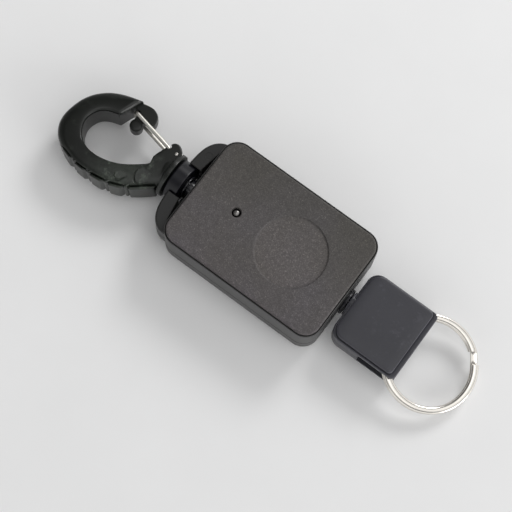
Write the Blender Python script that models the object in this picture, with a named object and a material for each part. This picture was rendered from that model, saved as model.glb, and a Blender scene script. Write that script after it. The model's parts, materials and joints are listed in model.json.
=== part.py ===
"""Retractable key reel: a sprung cord reel with a swivelling hook and a key tag on a split ring.

Frame: the case lies on its rear face at z = 0, with +X running from the hook to the key ring,
+Y across the case and +Z out of the front. The origin is the centre of the rear face.
Lengths are in metres.
"""

import math

import bmesh
import bpy
from mathutils import Matrix, Vector

MM = 0.001

# Gaps and cutters
GAP = 0.3 * MM              # left between pieces that touch
OVERRUN = 3.0 * MM          # how far a cutter runs past the faces it opens

# Case shells
PLATE_LENGTH = 51.0 * MM    # raised plate on the front
PLATE_WIDTH = 34.6 * MM
PLATE_CORNER = 4.5 * MM
PLATE_STEP = 0.6 * MM       # plate above the ledge round it
PLATE_ROUND = 0.35 * MM
LEDGE = 0.5 * MM
CASE_HEIGHT = 16.9 * MM
SEAM_HEIGHT = 7.5 * MM
CASE_WALL = 1.8 * MM
LEDGE_ROUND = 0.2 * MM
BELLY_ROUND = 3.5 * MM      # full round along the rear face's edge
DISC_RADIUS = 10.5 * MM     # shallow round recess on the front plate
DISC_DEPTH = 0.4 * MM

# Case rivet and rear screws
RIVET_ROOM = 2.5 * MM       # between the spool and the rivet's boss
RIVET_RADIUS = 1.0 * MM
RIVET_DIMPLE_RADIUS = 1.45 * MM
RIVET_DIMPLE_DEPTH = 0.55 * MM
RIVET_HEAD_RADIUS = 2.0 * MM
RIVET_HEAD_HEIGHT = 0.8 * MM
BOSS_RADIUS = 2.2 * MM
SCREW_INSET = 6.0 * MM      # from both sides of the case
SCREW_RADIUS = 0.9 * MM
SCREW_HEAD_RADIUS = 1.8 * MM
SCREW_HEAD_HEIGHT = 1.0 * MM
SCREW_RECESS = 0.3 * MM     # screw head below the rear face
SCREW_LENGTH = 11.3 * MM
SCREW_SLOT_WIDTH = 0.45 * MM
SCREW_SLOT_DEPTH = 0.4 * MM

# Bail that carries the swivel
BAIL_REACH = 6.0 * MM       # outer edge beyond the case end
BAIL_HALF_WIDTH = 15.9 * MM
BAIL_LOW = 3.0 * MM
BAIL_HIGH = 11.6 * MM
BAIL_ROUND = 0.5 * MM
BAIL_ROOT = 1.6 * MM        # how far the bail runs into the case wall
BAIL_OUTLINE_SHARES = (     # (reach, half width)
    (0.0, 1.0), (0.2, 0.985), (0.45, 0.935), (0.68, 0.845), (0.85, 0.72), (0.95, 0.56), (1.0, 0.38),
)
SLOT_DEPTH = 1.95 * MM      # slot between the bail and the case, at its middle
SLOT_END_DEPTH = 0.85 * MM
SLOT_STRAIGHT = 5.5 * MM    # half length over which the slot keeps its full depth
SLOT_HALF_LENGTH = 12.1 * MM
POCKET_HALF_WIDTH = 5.0 * MM

# Swivel barrel, stud and washer
BARREL_RADIUS = 6.0 * MM
BARREL_LENGTH = 4.2 * MM
BARREL_CHAMFER = 0.6 * MM
BARREL_OFFSET = 3.35 * MM   # its slot end, from the case end
KEY_WIDTH = 1.2 * MM        # tongues on the bail that hold the barrel
KEY_DEPTH = 0.9 * MM
KEY_HEIGHT = 5.0 * MM
KEY_INSET = 1.0 * MM        # from the barrel's slot end to the tongue
STUD_RADIUS = 2.0 * MM
STUD_HEAD_RADIUS = 2.6 * MM
STUD_HEAD_LENGTH = 1.7 * MM
STUD_DOME = 0.5 * MM
STUD_WASHER_RADIUS = 3.6 * MM
STUD_WASHER_THICKNESS = 0.45 * MM
STUD_FLANGE_RADIUS = 2.9 * MM
STUD_FLANGE_LENGTH = 1.1 * MM
STUD_GRIP = 2.9 * MM        # from the hook's flange face to the stud's buried flange

# Hook
HOOK_LENGTH = 35.0 * MM
HOOK_REACH = 15.0 * MM      # unit across, from the swivel axis to the back of the hook
HOOK_THICKNESS = 10.0 * MM
HOOK_ROUND = 1.5 * MM
HOOK_EDGE_SHARES = ((0.0, 0.7), (0.35, 0.2), (1.0, 0.0))    # (rise, inset) of the round
FLANGE_RADIUS = 6.8 * MM
FLANGE_THICKNESS = 1.4 * MM
FLANGE_CHAMFER = 0.3 * MM
NECK_RADIUS = 5.6 * MM
NECK_LENGTH = 3.0 * MM
HOOK_BACK_SHARES = (        # (length from the flange face, reach), arm end round to the flange
    (0.563, 0.786), (0.674, 0.722), (0.765, 0.642), (0.854, 0.509), (0.931, 0.316), (0.980, 0.096),
    (1.008, -0.164), (1.011, -0.371), (0.991, -0.544), (0.940, -0.718), (0.860, -0.851),
    (0.757, -0.944), (0.657, -0.984), (0.528, -0.991), (0.414, -0.964), (0.314, -0.898),
    (0.214, -0.784), (0.128, -0.638), (0.057, -0.498),
)
HOOK_LUG_SHARES = (
    (0.042, 0.329), (0.047, 0.429), (0.091, 0.479), (0.140, 0.476), (0.160, 0.402),
)
HOOK_MOUTH_SHARES = (
    (0.188, 0.229), (0.220, 0.069), (0.208, -0.024), (0.220, -0.104), (0.260, -0.238),
    (0.317, -0.358), (0.377, -0.458), (0.454, -0.538), (0.523, -0.584), (0.594, -0.604),
    (0.671, -0.591), (0.740, -0.524), (0.794, -0.398), (0.823, -0.264), (0.831, -0.144),
    (0.820, -0.011), (0.791, 0.109), (0.740, 0.202), (0.677, 0.256), (0.640, 0.282),
)
TREAD_SHARES = (            # notches across the back of the hook
    (0.660, -1.001), (0.524, -1.011), (0.366, -0.956), (0.229, -0.831),
)
TREAD_RADIUS = 0.8 * MM

# Nose of the hook
NOSE_THICKNESS = 4.4 * MM
NOSE_ROUND = 0.4 * MM
NOSE_SHARES = (
    (0.654, 0.614), (0.544, 0.614), (0.544, 0.429), (0.460, 0.429), (0.460, 0.522), (0.392, 0.522),
    (0.376, 0.589), (0.400, 0.742), (0.463, 0.816), (0.545, 0.796), (0.654, 0.719),
)
NUB_SHARE = (0.501, 0.359)
NUB_RADIUS = 1.9 * MM

# Gate
GATE_SHARE = (0.070, 0.307)         # hinge pin
CROSSBAR_SHARE = (0.565, 0.549)     # bent end of the wire behind the nose
WIRE_RADIUS = 0.5 * MM
WIRE_SPREAD = 6.0 * MM              # between the two legs
WIRE_BEND = 1.0 * MM
EYE_RADIUS = 1.2 * MM
EYE_START = math.radians(50)
EYE_END = math.radians(290)
GATE_PIN_RADIUS = 0.5 * MM
GATE_PIN_LENGTH = 10.2 * MM
GATE_SLOT_RADIUS = 2.0 * MM
GATE_SLOT_LENGTH = 8.5 * MM
GATE_SLOT_BEFORE = math.radians(-4)
GATE_SLOT_AFTER = math.radians(36)
GATE_SPRING_RADIUS = 1.3 * MM
GATE_SPRING_WIRE = 0.2 * MM
GATE_SPRING_PITCH = 0.95 * MM
GATE_SPRING_TURNS = 4
GATE_SPRING_ARM = 0.8 * MM

# Spool, arbor and washers
SPOOL_SIDE_ROOM = 1.8 * MM          # between the spool and the case's long walls
SPOOL_END_ROOM = 3.2 * MM           # the same at the cord's end
ARBOR_RADIUS = 2.5 * MM
ARBOR_SLIT = 0.9 * MM
ARBOR_BOSS_RADIUS = 4.6 * MM
ARBOR_BOSS_HEIGHT = 1.2 * MM        # above the inside of each shell
ARBOR_SOCKET = 0.9 * MM
ARBOR_SCREW_LENGTH = 4.5 * MM
WASHER_THICKNESS = 0.5 * MM
WASHER_RADIUS = 5.6 * MM
SPOOL_FLOOR = 1.0 * MM
FLANGE_DEPTH = 4.6 * MM             # spool flange beyond the drum
DRUM_WALL = 1.1 * MM
COVER_THICKNESS = 0.9 * MM
CORD_RADIUS = 0.6 * MM
WINDING_DEPTH = 2.7 * MM

# Mainspring
SPRING_THICKNESS = 0.3 * MM
SPRING_PITCH = 0.75 * MM
SPRING_INNER = 3.4 * MM
SPRING_TAB = 1.0 * MM

# Cord, eyelet and bead
CORD_BEND = 3.0 * MM
CORD_WRAP = math.radians(50)        # how far the lead hugs the winding
EYELET_RADIUS = 3.0 * MM
EYELET_FLANGE_RADIUS = 4.0 * MM
EYELET_FLANGE = 0.75 * MM
EYELET_CLIP_RADIUS = 3.8 * MM
EYELET_CLIP = 0.6 * MM
EYELET_BORE = 1.0 * MM
EYELET_FLARE = 0.8 * MM
BEAD_RADIUS = 2.0 * MM
BEAD_LENGTH = 3.6 * MM
BEAD_CHAMFER = 0.5 * MM
BEAD_BORE = 0.9 * MM
CORD_END = 0.4 * MM                 # cord past the bead

# Key tag
TAG_START = 1.95 * MM               # from the case end
TAG_LENGTH = 21.8 * MM
TAG_WIDTH = 22.5 * MM
TAG_THICKNESS = 9.0 * MM
TAG_CORNER = 3.6 * MM               # at the cord end
TAG_RING_CORNER = 1.5 * MM          # at the ring end
TAG_MARGIN = 0.75 * MM              # ledge round the raised panel
TAG_RING_MARGIN = 1.5 * MM          # the same at the ring end
TAG_STEP = 0.8 * MM
TAG_ROUND = 0.3 * MM
TAG_PARTING = 0.3 * MM
TAG_COLLAR_RADIUS = 3.8 * MM
TAG_CHAMBER_LENGTH = 7.2 * MM
TAG_CHAMBER_WIDTH = 7.0 * MM
TAG_CHAMBER_HEIGHT = 5.8 * MM
TAG_CHAMBER_WALL = 1.5 * MM
TAG_SLOT_DEPTH = 11.6 * MM          # slot for the split ring, from the ring end
TAG_SLOT_HEIGHT = 5.2 * MM
TAG_SCREW_X = 4.4 * MM              # from the tag's cord end
TAG_SCREW_Y = 7.6 * MM
TAG_SCREW_LENGTH = 6.2 * MM
POST_RADIUS = 2.0 * MM
POST_OFFSET = 3.8 * MM              # from the ring end
POST_SOCKET = 0.9 * MM

# Split ring
RING_RADIUS = 14.0 * MM
RING_WIDTH = 2.1 * MM
RING_COIL = 1.25 * MM
RING_COIL_GAP = 0.1 * MM
RING_TILT = math.radians(12)
RING_JOG = math.radians(9)          # half the stretch where the wire climbs
RING_JOG_AT = math.radians(45)
RING_SIDE = 0.3 * MM                # corner chamfer of the wire

# Facets
SHARP = math.radians(35)            # steeper edges than this stay crisp
CORNER_STEPS = 5
BELLY_STEPS = 4
LARGE_STEPS = 32
MEDIUM_STEPS = 20
SMALL_STEPS = 12
HOOK_CURVE_STEPS = 2
RING_STEPS = 36

# Places that follow from the sizes above
BODY_LENGTH = PLATE_LENGTH + 2 * LEDGE
BODY_WIDTH = PLATE_WIDTH + 2 * LEDGE
BODY_CORNER = PLATE_CORNER + LEDGE
CASE_END = BODY_LENGTH / 2
AXIS_HEIGHT = SEAM_HEIGHT
SCREW_X = CASE_END - SCREW_INSET
SCREW_Y = BODY_WIDTH / 2 - SCREW_INSET
SPOOL_RADIUS = BODY_WIDTH / 2 - CASE_WALL - SPOOL_SIDE_ROOM
SPOOL_X = CASE_END - CASE_WALL - SPOOL_END_ROOM - SPOOL_RADIUS
RIVET_X = SPOOL_X - SPOOL_RADIUS - RIVET_ROOM - BOSS_RADIUS
LEDGE_HEIGHT = CASE_HEIGHT - PLATE_STEP
FRONT_INSIDE = CASE_HEIGHT - CASE_WALL
BARREL_END = -CASE_END - BARREL_OFFSET
HOOK_FACE = BARREL_END - BARREL_LENGTH - GAP
HOOK_LOW = AXIS_HEIGHT - HOOK_THICKNESS / 2
HOOK_HIGH = AXIS_HEIGHT + HOOK_THICKNESS / 2
WIRE_LOW = AXIS_HEIGHT - WIRE_SPREAD / 2
WIRE_HIGH = AXIS_HEIGHT + WIRE_SPREAD / 2
ARBOR_LOW = CASE_WALL + ARBOR_BOSS_HEIGHT
ARBOR_HIGH = FRONT_INSIDE - ARBOR_BOSS_HEIGHT
DRUM_LOW = ARBOR_LOW + WASHER_THICKNESS + 2 * GAP
COVER_HIGH = ARBOR_HIGH - WASHER_THICKNESS - 2 * GAP
DRUM_RADIUS = SPOOL_RADIUS - FLANGE_DEPTH
DRUM_HIGH = COVER_HIGH - COVER_THICKNESS - GAP
WINDING_RADIUS = DRUM_RADIUS + GAP + WINDING_DEPTH
LEAD_RADIUS = WINDING_RADIUS + GAP + CORD_RADIUS
CASE_INSIDE_END = CASE_END - CASE_WALL
EYELET_INNER = CASE_INSIDE_END - GAP - EYELET_CLIP
EYELET_OUTER = CASE_END + GAP + EYELET_FLANGE
TAG_LOW_END = CASE_END + TAG_START
TAG_RING_END = TAG_LOW_END + TAG_LENGTH
TAG_LOW = AXIS_HEIGHT - TAG_THICKNESS / 2
TAG_HIGH = AXIS_HEIGHT + TAG_THICKNESS / 2
POST_X = TAG_RING_END - POST_OFFSET


def clear_scene():
    for scene_object in list(bpy.data.objects):
        bpy.data.objects.remove(scene_object, do_unlink=True)


def plain_material(name, colour, roughness, metallic=0.0):
    material = bpy.data.materials.new(name)
    material.use_nodes = True
    shader = material.node_tree.nodes["Principled BSDF"]
    shader.inputs["Base Color"].default_value = (*colour, 1.0)
    shader.inputs["Roughness"].default_value = roughness
    shader.inputs["Metallic"].default_value = metallic
    return material


def case_plastic(name):
    return plain_material(name, (0.060, 0.057, 0.058), 0.55)


def smooth_plastic(name):
    return plain_material(name, (0.040, 0.040, 0.046), 0.38)


def hook_plastic(name):
    return plain_material(name, (0.022, 0.023, 0.021), 0.45)


def inner_plastic(name):
    return plain_material(name, (0.55, 0.55, 0.53), 0.4)


def steel(name):
    return plain_material(name, (0.70, 0.68, 0.64), 0.25, 1.0)


def spring_steel(name):
    return plain_material(name, (0.30, 0.31, 0.34), 0.3, 1.0)


def brass(name):
    return plain_material(name, (0.72, 0.52, 0.22), 0.3, 1.0)


def cord_fibre(name):
    return plain_material(name, (0.05, 0.05, 0.05), 0.8)


def link(name, data, finish):
    """Put a named object with its own material in the scene."""
    data.materials.append(finish(name))
    scene_object = bpy.data.objects.new(name, data)
    bpy.context.scene.collection.objects.link(scene_object)
    return scene_object


def solid(name, vertices, faces, finish, smooth_angle=None):
    """Make an object from points and faces, with every face pointing out."""
    mesh = bpy.data.meshes.new(name)
    mesh.from_pydata(vertices, [], faces)
    model = bmesh.new()
    model.from_mesh(mesh)
    bmesh.ops.recalc_face_normals(model, faces=model.faces)
    model.to_mesh(mesh)
    model.free()
    if smooth_angle is not None:
        mesh.shade_smooth()
        mesh.set_sharp_from_angle(angle=smooth_angle)
    return link(name, mesh, finish)


def stacked(name, levels, finish):
    """Solid through outlines of equal length at rising heights."""
    count = len(levels[0][1])
    vertices = [(x, y, height) for height, outline in levels for x, y in outline]
    faces = [tuple(reversed(range(count)))]
    for level in range(len(levels) - 1):
        low, high = level * count, (level + 1) * count
        for index in range(count):
            following = (index + 1) % count
            faces.append((low + index, low + following, high + following, high + index))
    top = (len(levels) - 1) * count
    faces.append(tuple(range(top, top + count)))
    return solid(name, vertices, faces, finish, SHARP)


def prism(name, outline, low, high, finish):
    return stacked(name, [(low, outline), (high, outline)], finish)


def block(name, low, high, finish):
    """Box between two corners."""
    outline = [(low[0], low[1]), (high[0], low[1]), (high[0], high[1]), (low[0], high[1])]
    return prism(name, outline, low[2], high[2], finish)


def turned(name, profile, steps, finish, along="Z", centre=(0.0, 0.0, 0.0), places=((0.0, 0.0),)):
    """Turn a closed profile of (radius, distance along the axis) about Z, or about X.

    A cutter may stand at several places at once.
    """
    vertices, faces = [], []
    for place in places:
        rings = []
        for radius, distance in profile:
            if radius == 0.0:
                rings.append([len(vertices)])
                vertices.append((place[0], place[1], distance))
                continue
            ring = []
            for step in range(steps):
                angle = math.tau * (step + 0.5) / steps
                ring.append(len(vertices))
                vertices.append((*around(place, radius, angle), distance))
            rings.append(ring)
        for index, ring in enumerate(rings):
            faces += bridge(ring, rings[(index + 1) % len(rings)], steps)
    piece = solid(name, vertices, faces, finish, SHARP)
    if along == "X":
        piece.rotation_euler = (0.0, math.pi / 2, 0.0)
    piece.location = centre
    return piece


def bridge(ring, other, steps):
    """Faces between two rings of points, either of which may be a single point."""
    faces = []
    if len(ring) == 1 and len(other) == 1:
        return faces
    for step in range(steps):
        following = (step + 1) % steps
        if len(ring) == 1:
            faces.append((ring[0], other[step], other[following]))
        elif len(other) == 1:
            faces.append((ring[step], other[0], ring[following]))
        else:
            faces.append((ring[step], other[step], other[following], ring[following]))
    return faces


def around(centre, radius, angle):
    return (centre[0] + radius * math.cos(angle), centre[1] + radius * math.sin(angle))


def stepped_profile(*steps):
    """Profile of a solid turned piece from (radius, low, high) lengths that follow on."""
    profile = [(0.0, steps[0][1])]
    for radius, low, high in steps:
        profile += [(radius, low), (radius, high)]
    profile.append((0.0, steps[-1][2]))
    return profile


def rod_profile(radius, low, high, chamfer=0.0):
    """Profile of a solid rod, with chamfered ends if asked."""
    if chamfer == 0.0:
        return [(0.0, low), (radius, low), (radius, high), (0.0, high)]
    return [
        (0.0, low), (radius - chamfer, low), (radius, low + chamfer),
        (radius, high - chamfer), (radius - chamfer, high), (0.0, high),
    ]


def tube_profile(inner, outer, low, high):
    return [(inner, low), (outer, low), (outer, high), (inner, high)]


def wire(name, points, radius, sides_level, finish):
    """Round wire or cord along a list of points."""
    curve = bpy.data.curves.new(name, "CURVE")
    curve.dimensions = "3D"
    curve.bevel_depth = radius
    curve.bevel_resolution = sides_level
    curve.use_fill_caps = True
    spline = curve.splines.new("POLY")
    spline.points.add(len(points) - 1)
    for point, place in zip(spline.points, points):
        point.co = (*place, 1.0)
    return link(name, curve, finish)


def merged(name, finish, *pieces):
    """Several separate solids as one tool, so that they act in a single step."""
    model = bmesh.new()
    for piece in pieces:
        bpy.context.view_layer.update()
        piece.data.transform(piece.matrix_world)
        model.from_mesh(piece.data)
        bpy.data.objects.remove(piece, do_unlink=True)
    mesh = bpy.data.meshes.new(name)
    model.to_mesh(mesh)
    model.free()
    return link(name, mesh, finish)


def use_as_tool(target, tool, operation):
    modifier = target.modifiers.new(tool.name, "BOOLEAN")
    modifier.operation = operation
    modifier.solver = "EXACT"
    modifier.object = tool
    tool.hide_render = True
    tool.display_type = "WIRE"


def cut(target, *tools):
    for tool in tools:
        use_as_tool(target, tool, "DIFFERENCE")


def join(target, *tools):
    for tool in tools:
        use_as_tool(target, tool, "UNION")


def rounded_rectangle(length, width, corners, centre_x=0.0):
    """Outline with four corner radii: +X+Y, -X+Y, -X-Y and +X-Y."""
    signs = ((1, 1), (-1, 1), (-1, -1), (1, -1))
    outline = []
    for quarter, ((sign_x, sign_y), radius) in enumerate(zip(signs, corners)):
        middle_x = centre_x + sign_x * (length / 2 - radius)
        middle_y = sign_y * (width / 2 - radius)
        for step in range(CORNER_STEPS + 1):
            angle = (quarter + step / CORNER_STEPS) * math.pi / 2
            outline.append((middle_x + radius * math.cos(angle), middle_y + radius * math.sin(angle)))
    return outline


def inset(outline, distance):
    """Outline moved inwards; it runs anticlockwise."""
    moved = []
    for index, here in enumerate(outline):
        before = Vector(outline[index - 1])
        after = Vector(outline[(index + 1) % len(outline)])
        here = Vector(here)
        first = (here - before).normalized()
        second = (after - here).normalized()
        first_normal = Vector((-first.y, first.x))
        second_normal = Vector((-second.y, second.x))
        spread = 1 + first_normal.dot(second_normal)
        place = here + (first_normal + second_normal) * (distance / spread)
        moved.append((place.x, place.y))
    return moved


def smooth_through(points, steps):
    """Catmull-Rom curve through an open list of points."""
    padded = [points[0], *points, points[-1]]
    curve = []
    for index in range(len(points) - 1):
        p0, p1, p2, p3 = (Vector(point) for point in padded[index:index + 4])
        for step in range(steps):
            t = step / steps
            place = 0.5 * (
                2 * p1 + (p2 - p0) * t + (2 * p0 - 5 * p1 + 4 * p2 - p3) * t ** 2
                + (3 * p1 - p0 - 3 * p2 + p3) * t ** 3
            )
            curve.append(tuple(place))
    curve.append(tuple(points[-1]))
    return curve


def body_outline(inward=0.0):
    radius = BODY_CORNER - inward
    return rounded_rectangle(BODY_LENGTH - 2 * inward, BODY_WIDTH - 2 * inward, [radius] * 4)


def plate_outline(inward=0.0):
    radius = PLATE_CORNER - inward
    return rounded_rectangle(PLATE_LENGTH - 2 * inward, PLATE_WIDTH - 2 * inward, [radius] * 4)


def bail_outline(inward=0.0):
    """Bow of the bail, rooted in the case wall."""
    half = [(-CASE_END - reach * BAIL_REACH, width * BAIL_HALF_WIDTH)
            for reach, width in BAIL_OUTLINE_SHARES]
    root = -CASE_END + BAIL_ROOT
    outline = [(root, BAIL_HALF_WIDTH), *half]
    outline += [(x, -y) for x, y in reversed(outline)]
    return inset(outline, inward) if inward else outline


def bail_slot_outline():
    """Slot between the bail and the case end, deeper in front of the barrel."""
    wall = -CASE_END
    half = [
        (wall, SLOT_HALF_LENGTH), (wall - SLOT_END_DEPTH, SLOT_HALF_LENGTH),
        (wall - SLOT_DEPTH, SLOT_STRAIGHT), (wall - SLOT_DEPTH, POCKET_HALF_WIDTH),
        (BARREL_END - OVERRUN, POCKET_HALF_WIDTH),
    ]
    return half + [(x, -y) for x, y in reversed(half)]


def bail_half(name, low, high, round_low, round_high, finish):
    """One shell's share of the bail, cut for the slot and the barrel, with its two tongues."""
    levels = [(low, bail_outline(BAIL_ROUND if round_low else 0.0))]
    if round_low:
        levels.append((low + BAIL_ROUND, bail_outline()))
    if round_high:
        levels.append((high - BAIL_ROUND, bail_outline()))
    levels.append((high, bail_outline(BAIL_ROUND if round_high else 0.0)))
    bail = stacked(name, levels, finish)
    slot = prism(name + "_slot", bail_slot_outline(), low - OVERRUN, high + OVERRUN, finish)
    barrel_space = turned(
        name + "_barrel_space",
        rod_profile(BARREL_RADIUS + GAP, BARREL_END - 2 * BARREL_LENGTH, -CASE_END - SLOT_DEPTH),
        LARGE_STEPS, finish, "X", (0.0, 0.0, AXIS_HEIGHT),
    )
    cut(bail, slot, barrel_space)
    for side in (1, -1):
        inner = side * (BARREL_RADIUS + GAP - KEY_DEPTH)
        outer = side * (BARREL_RADIUS + KEY_DEPTH)
        end = BARREL_END - KEY_INSET
        tongue = block(
            "%s_tongue_%s" % (name, "left" if side > 0 else "right"),
            (end - KEY_WIDTH, min(inner, outer), max(low, AXIS_HEIGHT - KEY_HEIGHT / 2)),
            (end, max(inner, outer), min(high, AXIS_HEIGHT + KEY_HEIGHT / 2)), finish,
        )
        join(bail, tongue)
    return bail


def screw_places():
    return [(sign_x * SCREW_X, sign_y * SCREW_Y) for sign_x in (-1, 1) for sign_y in (-1, 1)]


def upright(name, radius, low, high, place, finish, steps=SMALL_STEPS):
    """Upright round post or round cutter."""
    return turned(name, rod_profile(radius, low, high), steps, finish, "Z", (place[0], place[1], 0.0))


def make_front_shell():
    """Front of the case with its raised plate, bosses and half of the bail."""
    seam = SEAM_HEIGHT + GAP / 2
    shell = stacked("front_shell", [
        (seam, body_outline()), (LEDGE_HEIGHT - LEDGE_ROUND, body_outline()),
        (LEDGE_HEIGHT, body_outline(LEDGE_ROUND)), (LEDGE_HEIGHT, plate_outline()),
        (CASE_HEIGHT - PLATE_ROUND, plate_outline()), (CASE_HEIGHT, plate_outline(PLATE_ROUND)),
    ], case_plastic)
    cut(shell, prism("front_hollow", body_outline(CASE_WALL), seam - OVERRUN, FRONT_INSIDE, case_plastic))
    join(shell, bail_half("front_bail", seam, BAIL_HIGH, False, True, case_plastic))
    boss_places = screw_places() + [(RIVET_X, 0.0)]
    screw_top = SCREW_RECESS + SCREW_LENGTH + GAP
    dimple = CASE_HEIGHT - RIVET_DIMPLE_DEPTH
    socket_top = ARBOR_HIGH + ARBOR_SOCKET + GAP
    spool_place = (SPOOL_X, 0.0, 0.0)
    rivet_place = (RIVET_X, 0.0, 0.0)
    join(shell, merged(
        "front_bosses", case_plastic,
        turned("front_screw_bosses", rod_profile(BOSS_RADIUS, seam + GAP / 3, FRONT_INSIDE + GAP),
               SMALL_STEPS, case_plastic, places=boss_places),
        turned("front_arbor_boss", rod_profile(ARBOR_BOSS_RADIUS, ARBOR_HIGH, FRONT_INSIDE + GAP),
               MEDIUM_STEPS, case_plastic, centre=spool_place),
    ))
    cut(shell, merged(
        "front_holes", case_plastic,
        turned("front_pilots", rod_profile(SCREW_RADIUS + GAP, seam - OVERRUN, screw_top), SMALL_STEPS,
               case_plastic, places=screw_places()),
        turned("front_rivet_hole", stepped_profile(
            (RIVET_RADIUS + GAP, seam - OVERRUN, dimple),
            (RIVET_DIMPLE_RADIUS, dimple, CASE_HEIGHT + OVERRUN),
        ), SMALL_STEPS, case_plastic, centre=rivet_place),
        turned("front_disc", rod_profile(DISC_RADIUS, CASE_HEIGHT - DISC_DEPTH, CASE_HEIGHT + OVERRUN),
               LARGE_STEPS, case_plastic, centre=spool_place),
        turned("front_socket", rod_profile(ARBOR_RADIUS + GAP, ARBOR_HIGH - OVERRUN, socket_top),
               MEDIUM_STEPS, case_plastic, centre=spool_place),
        eyelet_hole("front_eyelet_hole"),
    ))
    return shell


def make_rear_shell():
    """Rear of the case with its bosses, screw seats and the other half of the bail."""
    seam = SEAM_HEIGHT - GAP / 2
    levels = []
    for step in range(BELLY_STEPS + 1):
        angle = math.pi / 2 * step / BELLY_STEPS
        levels.append((BELLY_ROUND * (1 - math.cos(angle)), body_outline(BELLY_ROUND * (1 - math.sin(angle)))))
    shell = stacked("rear_shell", levels + [(seam, body_outline())], case_plastic)
    cut(shell, prism("rear_hollow", body_outline(CASE_WALL), CASE_WALL, seam + OVERRUN, case_plastic))
    join(shell, bail_half("rear_bail", BAIL_LOW, seam, True, False, case_plastic))
    inside = CASE_WALL - GAP
    seat = SCREW_RECESS + SCREW_HEAD_HEIGHT + GAP
    spool_place = (SPOOL_X, 0.0, 0.0)
    join(shell, merged(
        "rear_bosses", case_plastic,
        turned("rear_screw_bosses", rod_profile(BOSS_RADIUS, inside, seam - GAP / 3), SMALL_STEPS,
               case_plastic, places=screw_places() + [(RIVET_X, 0.0)]),
        turned("rear_arbor_boss", rod_profile(ARBOR_BOSS_RADIUS, inside, ARBOR_LOW), MEDIUM_STEPS,
               case_plastic, centre=spool_place),
    ))
    cut(shell, merged(
        "rear_holes", case_plastic,
        turned("rear_screw_holes", stepped_profile(
            (SCREW_HEAD_RADIUS + GAP, -OVERRUN, seat), (SCREW_RADIUS + GAP, seat, seam + OVERRUN),
        ), SMALL_STEPS, case_plastic, places=screw_places()),
        turned("rear_rivet_hole", stepped_profile(
            (RIVET_HEAD_RADIUS + GAP, -OVERRUN, SCREW_RECESS + RIVET_HEAD_HEIGHT + GAP),
            (RIVET_RADIUS + GAP, SCREW_RECESS + RIVET_HEAD_HEIGHT + GAP, seam + OVERRUN),
        ), SMALL_STEPS, case_plastic, centre=(RIVET_X, 0.0, 0.0)),
        turned("rear_arbor_hole", stepped_profile(
            (SCREW_HEAD_RADIUS + GAP, -OVERRUN, seat),
            (SCREW_RADIUS + GAP, seat, ARBOR_LOW - ARBOR_SOCKET - GAP),
            (ARBOR_RADIUS + GAP, ARBOR_LOW - ARBOR_SOCKET - GAP, ARBOR_LOW + OVERRUN),
        ), MEDIUM_STEPS, case_plastic, centre=spool_place),
        eyelet_hole("rear_eyelet_hole"),
    ))
    return shell


def eyelet_hole(name):
    """Round hole through the case end for the eyelet."""
    return turned(
        name, rod_profile(EYELET_RADIUS + GAP, CASE_INSIDE_END - OVERRUN, CASE_END + OVERRUN),
        MEDIUM_STEPS, case_plastic, "X", (0.0, 0.0, AXIS_HEIGHT),
    )


def screw(name, place, low, length, finish=steel):
    """Slotted screw, head down, with its head's flat at the given height."""
    head = low + SCREW_HEAD_HEIGHT
    piece = turned(name, [
        (0.0, low), (SCREW_HEAD_RADIUS - SCREW_SLOT_WIDTH / 2, low),
        (SCREW_HEAD_RADIUS, low + SCREW_SLOT_WIDTH / 2), (SCREW_HEAD_RADIUS, head),
        (SCREW_RADIUS, head), (SCREW_RADIUS, low + length - SCREW_RADIUS), (0.0, low + length),
    ], SMALL_STEPS, finish, "Z", (place[0], place[1], 0.0))
    slot = block(name + "_slot", (
        place[0] - SCREW_HEAD_RADIUS - OVERRUN, place[1] - SCREW_SLOT_WIDTH / 2, low - OVERRUN,
    ), (
        place[0] + SCREW_HEAD_RADIUS + OVERRUN, place[1] + SCREW_SLOT_WIDTH / 2, low + SCREW_SLOT_DEPTH,
    ), finish)
    cut(piece, slot)
    return piece


def make_case_fasteners():
    """Rear screws, the arbor's screw and the through rivet whose domed end shows on the front."""
    pieces = [screw("rear_screw_%d" % (index + 1), place, SCREW_RECESS, SCREW_LENGTH)
              for index, place in enumerate(screw_places())]
    pieces.append(screw("arbor_screw", (SPOOL_X, 0.0), SCREW_RECESS, ARBOR_SCREW_LENGTH))
    dome = CASE_HEIGHT - SCREW_RECESS
    pieces.append(turned("case_rivet", [
        (0.0, SCREW_RECESS), (RIVET_HEAD_RADIUS, SCREW_RECESS),
        (RIVET_HEAD_RADIUS, SCREW_RECESS + RIVET_HEAD_HEIGHT),
        (RIVET_RADIUS, SCREW_RECESS + RIVET_HEAD_HEIGHT), (RIVET_RADIUS, dome - RIVET_RADIUS / 2),
        (0.8 * RIVET_RADIUS, dome - RIVET_RADIUS / 6), (0.4 * RIVET_RADIUS, dome), (0.0, dome),
    ], SMALL_STEPS, steel, "Z", (RIVET_X, 0.0, 0.0)))
    return pieces


def make_arbor():
    """Fixed post of the spool, slit across for the mainspring's inner end."""
    low = ARBOR_LOW - ARBOR_SOCKET
    high = ARBOR_HIGH + ARBOR_SOCKET
    arbor = turned("spool_arbor", rod_profile(ARBOR_RADIUS, low, high), MEDIUM_STEPS, steel,
                   "Z", (SPOOL_X, 0.0, 0.0))
    slit_low, slit_high = spring_heights()
    cut(
        arbor,
        upright("arbor_thread", SCREW_RADIUS + GAP, low - OVERRUN,
                SCREW_RECESS + ARBOR_SCREW_LENGTH + GAP, (SPOOL_X, 0.0), steel),
        block("arbor_slit", (SPOOL_X, -ARBOR_SLIT / 2, slit_low - GAP),
              (SPOOL_X + ARBOR_RADIUS + OVERRUN, ARBOR_SLIT / 2, slit_high + GAP), steel),
    )
    return arbor


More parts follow.
